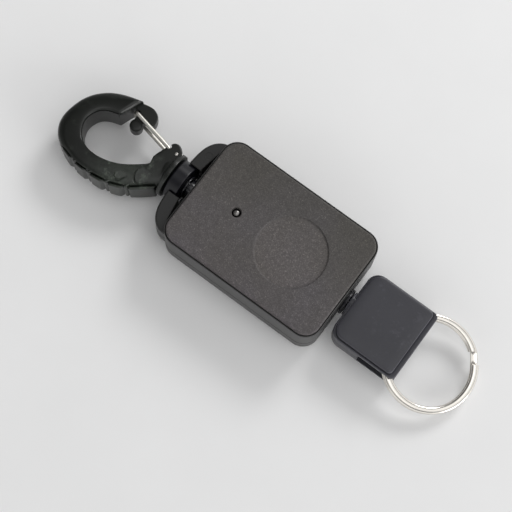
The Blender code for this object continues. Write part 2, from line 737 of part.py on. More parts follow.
def make_washers():
    inner = ARBOR_RADIUS + GAP
    lower = ARBOR_LOW + GAP
    upper = ARBOR_HIGH - GAP - WASHER_THICKNESS
    return [
        turned(name, tube_profile(inner, WASHER_RADIUS, low, low + WASHER_THICKNESS), MEDIUM_STEPS,
               brass, "Z", (SPOOL_X, 0.0, 0.0))
        for name, low in (("lower_washer", lower), ("upper_washer", upper))
    ]


def spring_heights():
    return DRUM_LOW + SPOOL_FLOOR + GAP, DRUM_HIGH - GAP


def spring_outer():
    """Radius of the mainspring's last turn."""
    return DRUM_RADIUS - DRUM_WALL - GAP - SPRING_THICKNESS


def make_spool():
    """Drum with the lower flange, and the cover that closes the spring chamber."""
    bore = ARBOR_RADIUS + GAP
    floor = DRUM_LOW + SPOOL_FLOOR
    inner = DRUM_RADIUS - DRUM_WALL
    drum = turned("spool_drum", [
        (bore, DRUM_LOW), (SPOOL_RADIUS, DRUM_LOW), (SPOOL_RADIUS, floor), (DRUM_RADIUS, floor),
        (DRUM_RADIUS, DRUM_HIGH), (inner, DRUM_HIGH), (inner, floor), (bore, floor),
    ], LARGE_STEPS, inner_plastic, "Z", (SPOOL_X, 0.0, 0.0))
    low, _ = spring_heights()
    cut(drum, block(
        "drum_notch", (SPOOL_X + inner - OVERRUN, -ARBOR_SLIT / 2, low - GAP / 2),
        (SPOOL_X + DRUM_RADIUS + GAP / 2, ARBOR_SLIT / 2, DRUM_HIGH + OVERRUN), inner_plastic,
    ))
    cover = turned(
        "spool_cover", tube_profile(bore, SPOOL_RADIUS, COVER_HIGH - COVER_THICKNESS, COVER_HIGH),
        LARGE_STEPS, inner_plastic, "Z", (SPOOL_X, 0.0, 0.0),
    )
    winding = turned("cord_winding", [
        (DRUM_RADIUS + GAP, floor + GAP), (WINDING_RADIUS - CORD_RADIUS, floor + GAP),
        (WINDING_RADIUS, floor + GAP + CORD_RADIUS), (WINDING_RADIUS, DRUM_HIGH - CORD_RADIUS),
        (WINDING_RADIUS - CORD_RADIUS, DRUM_HIGH), (DRUM_RADIUS + GAP, DRUM_HIGH),
    ], LARGE_STEPS, cord_fibre, "Z", (SPOOL_X, 0.0, 0.0))
    return [drum, cover, winding]


def make_mainspring():
    """Flat spiral strip, its tabs in the arbor's slit and the drum's notch."""
    low, high = spring_heights()
    steps_per_turn = 18
    outer = spring_outer()
    turns = round((outer - SPRING_INNER) / SPRING_PITCH)
    steps = turns * steps_per_turn
    path = [(SPRING_INNER - SPRING_TAB, 0.0)]
    for step in range(steps + 1):
        radius = SPRING_INNER + (outer - SPRING_INNER) * step / steps
        angle = math.tau * step / steps_per_turn
        path.append((radius * math.cos(angle), radius * math.sin(angle)))
    path.append((outer + SPRING_TAB, 0.0))
    print("mainspring: gap between turns %.2f mm" % (
        ((outer - SPRING_INNER) / turns - SPRING_THICKNESS) / MM))
    return strip("mainspring", path, SPRING_THICKNESS, low, high, spring_steel, (SPOOL_X, 0.0, 0.0))


def strip(name, path, thickness, low, high, finish, centre):
    """Upright strip of even thickness along an open path."""
    sides = []
    for index, here in enumerate(path):
        here = Vector(here)
        before = Vector(path[max(index - 1, 0)])
        after = Vector(path[min(index + 1, len(path) - 1)])
        first = (here - before).normalized() if index else (after - here).normalized()
        second = (after - here).normalized() if index < len(path) - 1 else first
        normal = Vector((-first.y - second.y, first.x + second.x)).normalized()
        widen = 1 / max(normal.dot(Vector((-first.y, first.x))), 0.5)
        offset = normal * (thickness / 2 * widen)
        sides.append((here + offset, here - offset))
    vertices, rings = [], []
    for left, right in sides:
        corners = [(left.x, left.y, low), (right.x, right.y, low),
                   (right.x, right.y, high), (left.x, left.y, high)]
        rings.append(list(range(len(vertices), len(vertices) + len(corners))))
        vertices += corners
    faces = [tuple(rings[0]), tuple(reversed(rings[-1]))]
    for ring, following in zip(rings, rings[1:]):
        faces += bridge(ring, following, len(ring))
    piece = solid(name, vertices, faces, finish, SHARP)
    piece.location = centre
    return piece


def make_eyelet():
    """Bush in the case end that the cord runs out through."""
    flare = EYELET_BORE + EYELET_FLARE
    return turned("cord_eyelet", [
        (flare, EYELET_INNER), (EYELET_CLIP_RADIUS, EYELET_INNER),
        (EYELET_CLIP_RADIUS, EYELET_INNER + EYELET_CLIP), (EYELET_RADIUS, EYELET_INNER + EYELET_CLIP),
        (EYELET_RADIUS, CASE_END + GAP), (EYELET_FLANGE_RADIUS, CASE_END + GAP),
        (EYELET_FLANGE_RADIUS, EYELET_OUTER), (flare, EYELET_OUTER),
        (EYELET_BORE, EYELET_OUTER - EYELET_FLARE), (EYELET_BORE, EYELET_INNER + EYELET_FLARE),
    ], MEDIUM_STEPS, smooth_plastic, "X", (0.0, 0.0, AXIS_HEIGHT))


def lead_route():
    """The lead hugs the winding, runs straight to the eyelet and bends into it."""
    corner_x = EYELET_INNER - CORD_RADIUS
    reach = corner_x - SPOOL_X
    tangent = math.acos(LEAD_RADIUS / reach)
    points = []
    wrap_steps = 8
    for step in range(wrap_steps + 1):
        angle = tangent + CORD_WRAP * (1 - step / wrap_steps)
        points.append((SPOOL_X + LEAD_RADIUS * math.cos(angle), LEAD_RADIUS * math.sin(angle)))
    turn = math.pi / 2 - tangent
    trim = CORD_BEND * math.tan(turn / 2)
    middle = (corner_x + trim, CORD_BEND)
    bend_steps = 5
    for step in range(bend_steps + 1):
        angle = -math.pi / 2 - turn * (1 - step / bend_steps)
        points.append((middle[0] + CORD_BEND * math.cos(angle), middle[1] + CORD_BEND * math.sin(angle)))
    points.append((CASE_INSIDE_END + CASE_WALL / 2, 0.0))
    return [(x, y, AXIS_HEIGHT) for x, y in points]


def make_cord():
    """The lead inside the case, the tip that leaves it, and the bead crimped on its end."""
    lead = wire("cord_lead", lead_route(), CORD_RADIUS, 2, cord_fibre)
    bead_low = TAG_LOW_END + TAG_CHAMBER_WALL + GAP
    start = CASE_INSIDE_END + CASE_WALL / 2 + GAP
    end = bead_low + BEAD_LENGTH + CORD_END
    steps = 5
    tip = wire("cord_tip", [(start + (end - start) * step / steps, 0.0, AXIS_HEIGHT)
                            for step in range(steps + 1)], CORD_RADIUS, 2, cord_fibre)
    bead_high = bead_low + BEAD_LENGTH
    bead = turned("cord_bead", [
        (BEAD_BORE, bead_low), (BEAD_RADIUS - BEAD_CHAMFER, bead_low),
        (BEAD_RADIUS, bead_low + BEAD_CHAMFER), (BEAD_RADIUS, bead_high - BEAD_CHAMFER),
        (BEAD_RADIUS - BEAD_CHAMFER, bead_high), (BEAD_BORE, bead_high),
    ], MEDIUM_STEPS, brass, "X", (0.0, 0.0, AXIS_HEIGHT))
    return lead, tip, bead


def make_barrel():
    """Round bush between the two halves of the bail, notched for their tongues."""
    far = BARREL_END - BARREL_LENGTH
    bore = STUD_RADIUS + GAP
    barrel = turned("swivel_barrel", [
        (bore, far), (BARREL_RADIUS - BARREL_CHAMFER, far), (BARREL_RADIUS, far + BARREL_CHAMFER),
        (BARREL_RADIUS, BARREL_END - BARREL_CHAMFER), (BARREL_RADIUS - BARREL_CHAMFER, BARREL_END),
        (bore, BARREL_END),
    ], LARGE_STEPS, smooth_plastic, "X", (0.0, 0.0, AXIS_HEIGHT))
    end = BARREL_END - KEY_INSET
    for side in (1, -1):
        inner = side * (BARREL_RADIUS - KEY_DEPTH)
        outer = side * (BARREL_RADIUS + OVERRUN)
        cut(barrel, block(
            "barrel_notch_%s" % ("left" if side > 0 else "right"),
            (end - KEY_WIDTH - GAP, min(inner, outer), AXIS_HEIGHT - KEY_HEIGHT / 2 - GAP),
            (end + GAP, max(inner, outer), AXIS_HEIGHT + KEY_HEIGHT / 2 + GAP), smooth_plastic,
        ))
    return barrel


def stud_profile(clearance):
    """Stud from its buried flange to the end of its shank, grown by a clearance."""
    flange = HOOK_FACE - STUD_GRIP
    return [
        (0.0, flange - STUD_FLANGE_LENGTH - clearance),
        (STUD_FLANGE_RADIUS + clearance, flange - STUD_FLANGE_LENGTH - clearance),
        (STUD_FLANGE_RADIUS + clearance, flange + clearance), (STUD_RADIUS + clearance, flange + clearance),
    ]


def make_stud():
    """Stud that the hook turns on: buried flange, shank, and a domed head in the slot."""
    washer_low = BARREL_END + GAP
    head_low = washer_low + STUD_WASHER_THICKNESS + GAP
    head_high = head_low + STUD_HEAD_LENGTH
    stud = turned("swivel_stud", stud_profile(0.0) + [
        (STUD_RADIUS, head_low), (STUD_HEAD_RADIUS, head_low), (STUD_HEAD_RADIUS, head_high - STUD_DOME),
        (STUD_HEAD_RADIUS - STUD_DOME, head_high), (0.0, head_high),
    ], MEDIUM_STEPS, smooth_plastic, "X", (0.0, 0.0, AXIS_HEIGHT))
    washer = turned(
        "stud_washer",
        tube_profile(STUD_RADIUS + GAP, STUD_WASHER_RADIUS, washer_low, washer_low + STUD_WASHER_THICKNESS),
        MEDIUM_STEPS, steel, "X", (0.0, 0.0, AXIS_HEIGHT),
    )
    return [stud, washer]


def hook_place(share):
    """Point of the hook's plan from shares of its length and reach."""
    return (HOOK_FACE - share[0] * HOOK_LENGTH, share[1] * HOOK_REACH)


def hook_outline():
    """C-shaped plan of the hook, anticlockwise: back, lug, mouth."""
    back = smooth_through([hook_place(share) for share in HOOK_BACK_SHARES], HOOK_CURVE_STEPS)
    lug = [hook_place(share) for share in HOOK_LUG_SHARES]
    mouth = smooth_through([hook_place(share) for share in HOOK_MOUTH_SHARES], HOOK_CURVE_STEPS)
    return back + lug + mouth


def gate_direction():
    pin, bar = Vector(hook_place(GATE_SHARE)), Vector(hook_place(CROSSBAR_SHARE))
    return math.atan2(bar.y - pin.y, bar.x - pin.x)


def make_hook():
    """Body of the snap hook: C-shaped arm, nose, lug for the gate and round swivel flange."""
    outline = hook_outline()
    levels = []
    for rise, inward in HOOK_EDGE_SHARES:
        levels.append((HOOK_LOW + rise * HOOK_ROUND, inset(outline, inward * HOOK_ROUND)))
    for rise, inward in reversed(HOOK_EDGE_SHARES):
        levels.append((HOOK_HIGH - rise * HOOK_ROUND, inset(outline, inward * HOOK_ROUND)))
    hook = stacked("hook_body", levels, hook_plastic)
    nose_outline = [hook_place(share) for share in NOSE_SHARES]
    nose_low, nose_high = AXIS_HEIGHT - NOSE_THICKNESS / 2, AXIS_HEIGHT + NOSE_THICKNESS / 2
    nose = prism("hook_nose", nose_outline, nose_low, nose_high, hook_plastic)
    nub = turned("hook_nub", rod_profile(NUB_RADIUS, nose_low, nose_high, NOSE_ROUND), SMALL_STEPS,
                 hook_plastic, "Z", (*hook_place(NUB_SHARE), 0.0))
    inner_end = HOOK_FACE - FLANGE_THICKNESS
    flange = turned("hook_flange", [
        (0.0, inner_end - NECK_LENGTH), (NECK_RADIUS - FLANGE_CHAMFER, inner_end - NECK_LENGTH),
        (NECK_RADIUS, inner_end), (FLANGE_RADIUS - FLANGE_CHAMFER, inner_end),
        (FLANGE_RADIUS, inner_end + FLANGE_CHAMFER), (FLANGE_RADIUS, HOOK_FACE - FLANGE_CHAMFER),
        (FLANGE_RADIUS - FLANGE_CHAMFER, HOOK_FACE), (0.0, HOOK_FACE),
    ], LARGE_STEPS, hook_plastic, "X", (0.0, 0.0, AXIS_HEIGHT))
    join(hook, nose, nub, flange)
    for index, share in enumerate(TREAD_SHARES):
        cut(hook, upright("tread_notch_%d" % index, TREAD_RADIUS, HOOK_LOW - OVERRUN, HOOK_HIGH + OVERRUN,
                          hook_place(share), hook_plastic))
    stud_space = turned("stud_space", stud_profile(GAP) + [
        (STUD_RADIUS + GAP, HOOK_FACE + OVERRUN), (0.0, HOOK_FACE + OVERRUN),
    ], MEDIUM_STEPS, hook_plastic, "X", (0.0, 0.0, AXIS_HEIGHT))
    cut(hook, stud_space, *gate_spaces())
    return hook


def gate_spaces():
    """Slot in the lug for the gate's legs to swing in, and the bore of its pin."""
    pin = hook_place(GATE_SHARE)
    low = WIRE_LOW - WIRE_RADIUS - GAP
    high = WIRE_HIGH + WIRE_RADIUS + GAP
    heading = gate_direction()
    side = WIRE_RADIUS + GAP
    before, after = heading + GATE_SLOT_BEFORE, heading + GATE_SLOT_AFTER
    near_before = around(pin, side, before - math.pi / 2)
    near_after = around(pin, side, after + math.pi / 2)
    wedge = [near_before, around(near_before, GATE_SLOT_LENGTH, before),
             around(near_after, GATE_SLOT_LENGTH, after), near_after]
    return [
        prism("gate_wedge", wedge, low, high, hook_plastic),
        upright("gate_eye_space", GATE_SLOT_RADIUS, low, high, pin, hook_plastic, MEDIUM_STEPS),
        upright("gate_pin_bore", GATE_PIN_RADIUS + GAP, HOOK_LOW - OVERRUN, HOOK_HIGH + OVERRUN,
                pin, hook_plastic),
    ]


def gate_leg(height):
    """One leg of the gate, from the end of its eye to the corner behind the nose."""
    pin, bar = hook_place(GATE_SHARE), hook_place(CROSSBAR_SHARE)
    heading = gate_direction()
    eye_steps = 12
    points = [around(pin, EYE_RADIUS, heading + EYE_END + (EYE_START - EYE_END) * step / eye_steps)
              for step in range(eye_steps + 1)]
    points.append(around(pin, 2 * EYE_RADIUS, heading + EYE_START / 6))
    length = math.dist(pin, bar)
    straight_steps = 4
    first = 3 * EYE_RADIUS
    last = length - WIRE_BEND
    for step in range(straight_steps + 1):
        points.append(around(pin, first + (last - first) * step / straight_steps, heading))
    return [(x, y, height) for x, y in points]


def make_gate():
    """Wire gate bent from one wire, the pin through the lug and the spring round it."""
    pin, bar = hook_place(GATE_SHARE), hook_place(CROSSBAR_SHARE)
    heading = gate_direction()
    lower, upper = gate_leg(WIRE_LOW), gate_leg(WIRE_HIGH)
    corner = []
    bend_steps = 4
    for step in range(1, bend_steps + 1):
        angle = math.pi / 2 * step / bend_steps
        x, y = around(bar, WIRE_BEND * (1 - math.sin(angle)), heading + math.pi)
        corner.append((x, y, WIRE_LOW + WIRE_BEND * (1 - math.cos(angle))))
    top_corner = [(x, y, 2 * AXIS_HEIGHT - z) for x, y, z in reversed(corner)]
    gate = wire("gate_wire", lower + corner + top_corner + upper[::-1], WIRE_RADIUS, 2, steel)
    pin_low = AXIS_HEIGHT - GATE_PIN_LENGTH / 2
    gate_pin = turned("gate_pin", rod_profile(
        GATE_PIN_RADIUS, pin_low, pin_low + GATE_PIN_LENGTH, GATE_PIN_RADIUS / 3,
    ), SMALL_STEPS, steel, "Z", (*pin, 0.0))
    return gate, gate_pin, make_gate_spring(pin, heading)


def make_gate_spring(pin, heading):
    """Small torsion spring between the gate's two eyes."""
    points_per_turn = 10
    steps = GATE_SPRING_TURNS * points_per_turn
    rise = GATE_SPRING_PITCH * GATE_SPRING_TURNS
    low = AXIS_HEIGHT - rise / 2
    start = heading - math.pi / 2
    coil = []
    for step in range(steps + 1):
        angle = start + math.tau * step / points_per_turn
        coil.append((*around(pin, GATE_SPRING_RADIUS, angle), low + rise * step / steps))
    arm = [(*around((coil[-1][0], coil[-1][1]), GATE_SPRING_ARM * step / 3, heading), coil[-1][2])
           for step in (1, 2, 3)]
    print("gate_spring: gap between curls %.2f mm" % ((GATE_SPRING_PITCH - 2 * GATE_SPRING_WIRE) / MM))
    return wire("gate_spring", coil + arm, GATE_SPRING_WIRE, 1, spring_steel)


def tag_outline(inward=0.0, ring_inward=None):
    """Plan of the tag, rounder at its cord end than at its ring end."""
    ring_inward = inward if ring_inward is None else ring_inward
    length = TAG_LENGTH - inward - ring_inward
    centre = (TAG_LOW_END + inward + TAG_RING_END - ring_inward) / 2
    cord_corner = TAG_CORNER - inward / 2
    ring_corner = max(TAG_RING_CORNER - inward / 2, TAG_RING_CORNER / 4)
    return rounded_rectangle(length, TAG_WIDTH - 2 * inward,
                             (ring_corner, cord_corner, cord_corner, ring_corner), centre)


def tag_levels():
    """Half of the tag from its parting face to its raised panel, as (distance, outline)."""
    half = TAG_THICKNESS / 2
    return [
        (TAG_PARTING / 2, tag_outline()), (half - TAG_STEP - TAG_ROUND, tag_outline()),
        (half - TAG_STEP, tag_outline(TAG_ROUND)), (half - TAG_STEP, tag_outline(TAG_MARGIN, TAG_RING_MARGIN)),
        (half - TAG_ROUND, tag_outline(TAG_MARGIN, TAG_RING_MARGIN)),
        (half, tag_outline(TAG_MARGIN + TAG_ROUND, TAG_RING_MARGIN + TAG_ROUND)),
    ]


def tag_screw_places():
    return [(TAG_LOW_END + TAG_SCREW_X, side * TAG_SCREW_Y) for side in (-1, 1)]


def tag_shell(name, up):
    """One half of the tag: collar for the cord, bead chamber, ring slot and post socket."""
    levels = [(AXIS_HEIGHT + up * distance, outline) for distance, outline in tag_levels()]
    shell = stacked(name, levels if up > 0 else levels[::-1], smooth_plastic)
    low = AXIS_HEIGHT + up * TAG_PARTING / 2
    collar = turned(
        name + "_collar", rod_profile(TAG_COLLAR_RADIUS, EYELET_OUTER + GAP, TAG_LOW_END + TAG_CHAMBER_WALL / 2),
        MEDIUM_STEPS, smooth_plastic, "X", (0.0, 0.0, AXIS_HEIGHT),
    )
    near = low + up * GAP / 3
    far = low - up * (TAG_COLLAR_RADIUS + OVERRUN)
    half_space = block(
        name + "_half_space", (EYELET_OUTER - OVERRUN, -TAG_WIDTH, min(near, far)),
        (TAG_LOW_END + TAG_CHAMBER_WALL, TAG_WIDTH, max(near, far)), smooth_plastic,
    )
    cut(collar, half_space)
    join(shell, collar)
    chamber_low = TAG_LOW_END + TAG_CHAMBER_WALL
    slot_low = TAG_RING_END - TAG_SLOT_DEPTH
    cut(
        shell,
        block(name + "_chamber", (chamber_low, -TAG_CHAMBER_WIDTH / 2, AXIS_HEIGHT - TAG_CHAMBER_HEIGHT / 2),
              (chamber_low + TAG_CHAMBER_LENGTH, TAG_CHAMBER_WIDTH / 2, AXIS_HEIGHT + TAG_CHAMBER_HEIGHT / 2),
              smooth_plastic),
        block(name + "_ring_slot", (slot_low, -TAG_WIDTH, AXIS_HEIGHT - TAG_SLOT_HEIGHT / 2),
              (TAG_RING_END + OVERRUN, TAG_WIDTH, AXIS_HEIGHT + TAG_SLOT_HEIGHT / 2), smooth_plastic),
        upright(name + "_post_socket", POST_RADIUS + GAP, AXIS_HEIGHT - post_half() - GAP,
                AXIS_HEIGHT + post_half() + GAP, (POST_X, 0.0), smooth_plastic, MEDIUM_STEPS),
    )
    screw_low = TAG_LOW + SCREW_RECESS
    screw_top = screw_low + TAG_SCREW_LENGTH + GAP
    seat = screw_low + SCREW_HEAD_HEIGHT + GAP
    hole = [(SCREW_RADIUS + GAP, TAG_LOW - OVERRUN, screw_top)] if up > 0 else [
        (SCREW_HEAD_RADIUS + GAP, TAG_LOW - OVERRUN, seat), (SCREW_RADIUS + GAP, seat, screw_top)]
    cut(
        shell,
        turned(name + "_screw_holes", stepped_profile(*hole), SMALL_STEPS, smooth_plastic,
               places=tag_screw_places()),
        turned(name + "_cord_hole", rod_profile(CORD_RADIUS + GAP, CASE_END, chamber_low + OVERRUN),
               SMALL_STEPS, smooth_plastic, "X", (0.0, 0.0, AXIS_HEIGHT)),
    )
    return shell


def post_half():
    return TAG_SLOT_HEIGHT / 2 + POST_SOCKET


def make_tag():
    pieces = [tag_shell("tag_top_shell", 1), tag_shell("tag_bottom_shell", -1)]
    pieces.append(upright("ring_post", POST_RADIUS, AXIS_HEIGHT - post_half(), AXIS_HEIGHT + post_half(),
                          (POST_X, 0.0), steel, MEDIUM_STEPS))
    for index, place in enumerate(tag_screw_places()):
        pieces.append(screw("tag_screw_%d" % (index + 1), place, TAG_LOW + SCREW_RECESS, TAG_SCREW_LENGTH))
    return pieces


def ring_centre():
    """The ring hangs behind the post, its far side low, clear of the slot's lower lip."""
    middle = RING_RADIUS - RING_WIDTH / 2
    along = POST_X - POST_RADIUS - GAP - RING_WIDTH / 2 + middle * math.cos(RING_TILT)
    lip = AXIS_HEIGHT - TAG_SLOT_HEIGHT / 2
    half_height = RING_COIL + RING_COIL_GAP / 2
    at_lip = lip + GAP + half_height / math.cos(RING_TILT)
    return along, at_lip - (along - TAG_RING_END) * math.tan(RING_TILT)


def make_ring():
    """Split ring: one flat wire wound twice round, climbing a coil where its ends meet."""
    middle = RING_RADIUS - RING_WIDTH / 2
    climb = RING_COIL + RING_COIL_GAP
    low = -climb / 2
    half_width, half_height = RING_WIDTH / 2, RING_COIL / 2
    section = [
        (-half_width, -half_height + RING_SIDE), (-half_width + RING_SIDE, -half_height),
        (half_width - RING_SIDE, -half_height), (half_width, -half_height + RING_SIDE),
        (half_width, half_height - RING_SIDE), (half_width - RING_SIDE, half_height),
        (-half_width + RING_SIDE, half_height), (-half_width, half_height - RING_SIDE),
    ]
    turns = []
    for step in range(RING_STEPS + 1):
        turns.append((RING_JOG + (math.tau - 2 * RING_JOG) * step / RING_STEPS, low))
    climb_steps = 4
    for step in range(1, climb_steps):
        share = step / climb_steps
        ease = share * share * (3 - 2 * share)
        turns.append((math.tau + RING_JOG * (2 * share - 1), low + climb * ease))
    for step in range(RING_STEPS + 1):
        turns.append((math.tau + RING_JOG + (math.tau - 2 * RING_JOG) * step / RING_STEPS, low + climb))
    vertices, faces = [], []
    for angle, height in turns:
        angle += RING_JOG_AT
        for outward, upward in section:
            radius = middle + outward
            vertices.append((radius * math.cos(angle), radius * math.sin(angle), height + upward))
    sides = len(section)
    for index in range(len(turns) - 1):
        base, following = index * sides, (index + 1) * sides
        for side in range(sides):
            other = (side + 1) % sides
            faces.append((base + side, base + other, following + other, following + side))
    faces.append(tuple(range(sides)))
    end = (len(turns) - 1) * sides
    faces.append(tuple(reversed(range(end, end + sides))))
    ring = solid("split_ring", vertices, faces, steel, SHARP)
    along, height = ring_centre()
    ring.rotation_euler = (0.0, RING_TILT, 0.0)
    ring.location = (along, 0.0, height)
    return ring


def carried(name, place, *pieces):
    """Hang pieces on an empty that stands on their joint's axis."""
    axis = bpy.data.objects.new(name, None)
    bpy.context.scene.collection.objects.link(axis)
    axis.location = place
    for piece in pieces:
        piece.parent = axis
        piece.matrix_parent_inverse = Matrix.Translation(place).inverted()
    return axis


def main():
    clear_scene()
    make_front_shell()
    make_rear_shell()
    make_case_fasteners()
    make_arbor()
    make_washers()
    make_barrel()
    make_eyelet()
    carried("spool_axis", (SPOOL_X, 0.0, AXIS_HEIGHT), *make_spool(), make_mainspring())
    _, tip, bead = make_cord()
    cord_axis = carried("cord_axis", (CASE_END, 0.0, AXIS_HEIGHT), tip, bead)
    tag_axis = carried("tag_axis", (TAG_LOW_END, 0.0, AXIS_HEIGHT), *make_tag())
    ring_axis = carried("ring_axis", (POST_X, 0.0, AXIS_HEIGHT), make_ring())
    tag_axis.parent = cord_axis
    tag_axis.matrix_parent_inverse = Matrix.Translation(cord_axis.location).inverted()
    ring_axis.parent = tag_axis
    ring_axis.matrix_parent_inverse = Matrix.Translation(tag_axis.location).inverted()
    gate, gate_pin, gate_spring = make_gate()
    hook_axis = carried("hook_axis", (HOOK_FACE, 0.0, AXIS_HEIGHT), make_hook(), *make_stud(), gate_pin)
    gate_axis = carried("gate_axis", (*hook_place(GATE_SHARE), AXIS_HEIGHT), gate, gate_spring)
    gate_axis.parent = hook_axis
    gate_axis.matrix_parent_inverse = Matrix.Translation(hook_axis.location).inverted()


main()
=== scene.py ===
"""Looks of the retractable key reel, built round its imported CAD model.

Sizes are in millimetres; each mesh is turned into metres when it is made. The frame is the CAD's:
+X from the hook to the split ring, +Y across the case, +Z out of the front plate, z = 0 on the rear.
"""

import json
import math

import bmesh
import bpy
from mathutils import Matrix, Vector


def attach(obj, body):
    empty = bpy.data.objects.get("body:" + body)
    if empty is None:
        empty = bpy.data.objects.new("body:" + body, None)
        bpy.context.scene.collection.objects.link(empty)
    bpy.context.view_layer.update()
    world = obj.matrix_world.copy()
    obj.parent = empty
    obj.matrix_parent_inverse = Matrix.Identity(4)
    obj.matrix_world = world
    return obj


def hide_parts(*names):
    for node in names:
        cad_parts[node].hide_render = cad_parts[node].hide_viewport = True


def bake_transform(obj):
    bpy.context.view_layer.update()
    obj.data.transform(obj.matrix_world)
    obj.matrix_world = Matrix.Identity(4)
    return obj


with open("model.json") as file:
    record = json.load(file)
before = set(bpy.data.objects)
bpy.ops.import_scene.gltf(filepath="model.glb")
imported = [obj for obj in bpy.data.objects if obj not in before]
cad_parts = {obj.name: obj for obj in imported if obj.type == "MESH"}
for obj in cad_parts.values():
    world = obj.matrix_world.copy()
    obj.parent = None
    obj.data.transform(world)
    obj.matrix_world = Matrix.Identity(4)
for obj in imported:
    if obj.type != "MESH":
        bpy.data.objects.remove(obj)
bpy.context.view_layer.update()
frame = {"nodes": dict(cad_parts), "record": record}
MM = 0.001

# Case
CASE_END = 26.0
BODY_WIDTH = 35.6
BODY_CORNER = 5.0
CASE_TOP = 16.9
LEDGE_TOP = 16.3
LEDGE = 0.5
SEAM = 7.5
SEAM_LINE = 0.1
WALL = 1.8
PLATE_ROUND = 0.55
BELLY = 3.5
AXIS = 7.5
GAP = 0.3
SPOOL_X = 6.8
RIVET_X = -11.9
BAIL_LOW, BAIL_HIGH = 3.0, 11.6
BAIL_REACH, BAIL_HALF = 6.0, 15.9
WEB = 0.7            # closes the bail's slot from below
BOSS_RADIUS, ARBOR_BOSS_RADIUS, SOCKET_RADIUS = 2.2, 4.6, 2.8
SCREW_PLACES = [(x, y) for x in (-20.0, 20.0) for y in (-11.8, 11.8)]
DISC_FLOOR = CASE_TOP - 0.45    # round recess in the plate

# Swivel
BARREL_END, BARREL_LENGTH, BARREL_RADIUS = -29.35, 4.2, 6.0
HOOK_FACE = -33.85
STUD_FACE = HOOK_FACE - 2.9     # where the stud bears on the hook

# Snap hook, in plan: the arm's outer and inner edge, then both of them round the lug
HOOK_BACK = [
    (-53.55, 11.79), (-57.44, 10.83), (-60.62, 9.63), (-63.74, 7.63), (-66.44, 4.74), (-68.15, 1.44),
    (-69.12, -2.46), (-69.21, -5.56), (-68.52, -8.16), (-66.75, -10.77), (-63.95, -12.77),
    (-60.34, -14.16), (-56.84, -14.76), (-52.33, -14.87), (-48.34, -14.46), (-44.84, -13.47),
    (-41.34, -11.76), (-38.33, -9.57),
]
HOOK_MOUTH = [
    (-56.25, 4.23), (-57.55, 3.84), (-59.75, 3.03), (-61.54, 1.64), (-62.55, -0.16), (-62.94, -2.16),
    (-62.66, -3.96), (-61.64, -5.97), (-59.75, -7.86), (-57.34, -8.87), (-54.64, -9.06),
    (-52.16, -8.76), (-49.74, -8.07), (-47.05, -6.87), (-44.95, -5.47), (-43.3, -4.2),
    (-41.9, -3.05), (-40.95, -2.1), (-40.62, -1.35), (-40.72, -0.7), (-41.0, -0.1), (-41.15, 0.4),
]
HOOK_ROOT = [
    ((-38.33, -9.57), (-41.15, 0.4)), ((-37.7, -9.05), (-40.75, 1.9)), ((-37.1, -8.55), (-40.15, 3.6)),
    ((-36.5, -8.05), (-39.45, 5.6)), ((-36.0, -7.6), (-38.5, 7.0)), ((-35.6, -7.2), (-37.0, 7.25)),
    ((-35.2, -6.8), (-35.5, 6.3)), ((-34.8, -6.2), (-34.8, 5.0)),
]
NOSE = [
    (-56.74, 9.21), (-52.89, 9.21), (-52.89, 6.43), (-49.95, 6.43), (-49.95, 7.83), (-47.57, 7.83),
    (-47.01, 8.83), (-47.85, 11.13), (-50.06, 12.24), (-52.93, 11.94), (-56.74, 10.79),
]
NUB = (-51.385, 5.385)
GATE_PIN = (-36.3, 4.605)
CROSSBAR = (-53.625, 8.235)
GATE_HEADING = math.atan2(CROSSBAR[1] - GATE_PIN[1], CROSSBAR[0] - GATE_PIN[0])
LEG_HEIGHT, WIRE_RADIUS = 3.0, 0.58
ARM_HALF = 5.0
NOSE_RIMS = ((2.2, 0.4), (2.08, 0.12), (1.8, 0.0))    # height above the axis, distance inwards
LEAF_MARKS = [
    ([(-46.73, -9.92), (-46.68, -10.76), (-46.24, -11.31), (-45.43, -11.49), (-44.59, -11.04),
      (-44.08, -10.17), (-43.4, -9.08)], [(-43.9, -8.1), (-46.1, -8.8)]),
    ([(-42.16, -5.41), (-42.29, -6.57), (-41.98, -7.74), (-41.29, -8.63), (-40.49, -8.91),
      (-39.57, -8.56), (-38.52, -7.51), (-37.75, -6.31)], [(-38.3, -4.2), (-41.0, -4.1)]),
]

# Key tag
TAG_LOW_END, TAG_RING_END = 27.95, 49.75
TAG_WIDTH = 22.5
TAG_SCREW_X, TAG_SCREW_Y = TAG_LOW_END + 4.4, 7.6
POST_X = 45.95
RING_SLOT_HALF = 2.6

# Split ring
RING_RADIUS, RING_WIDTH, RING_COIL = 14.0, 2.1, 1.25
RING_TILT = math.radians(12)


def new_object(name, data):
    item = bpy.data.objects.new(name, data)
    bpy.context.scene.collection.objects.link(item)
    return item


def make_object(name, vertices, faces):
    """Closed mesh from points in millimetres, facing out."""
    mesh = bpy.data.meshes.new(name)
    mesh.from_pydata([[c * MM for c in vertex] for vertex in vertices], [], faces)
    model = bmesh.new()
    model.from_mesh(mesh)
    bmesh.ops.recalc_face_normals(model, faces=model.faces)
    model.to_mesh(mesh)
    model.free()
    return new_object(name, mesh)


def lofted(name, rings):
    """Skin through rings of equal length, capped at both ends."""
    count = len(rings[0])
    vertices = [point for ring in rings for point in ring]
    last = len(vertices) - count
    faces = []
    for here in range(0, last, count):
        for step in range(count):
            other = (step + 1) % count
            faces.append((here + step, here + other, here + count + other, here + count + step))
    faces += [tuple(reversed(range(count))), tuple(range(last, len(vertices)))]
    return make_object(name, vertices, faces)


def stacked(name, levels):
    return lofted(name, [[(x, y, height) for x, y in outline] for height, outline in levels])


def rectangle(low_x, low_y, high_x, high_y):
    return [(low_x, low_y), (high_x, low_y), (high_x, high_y), (low_x, high_y)]


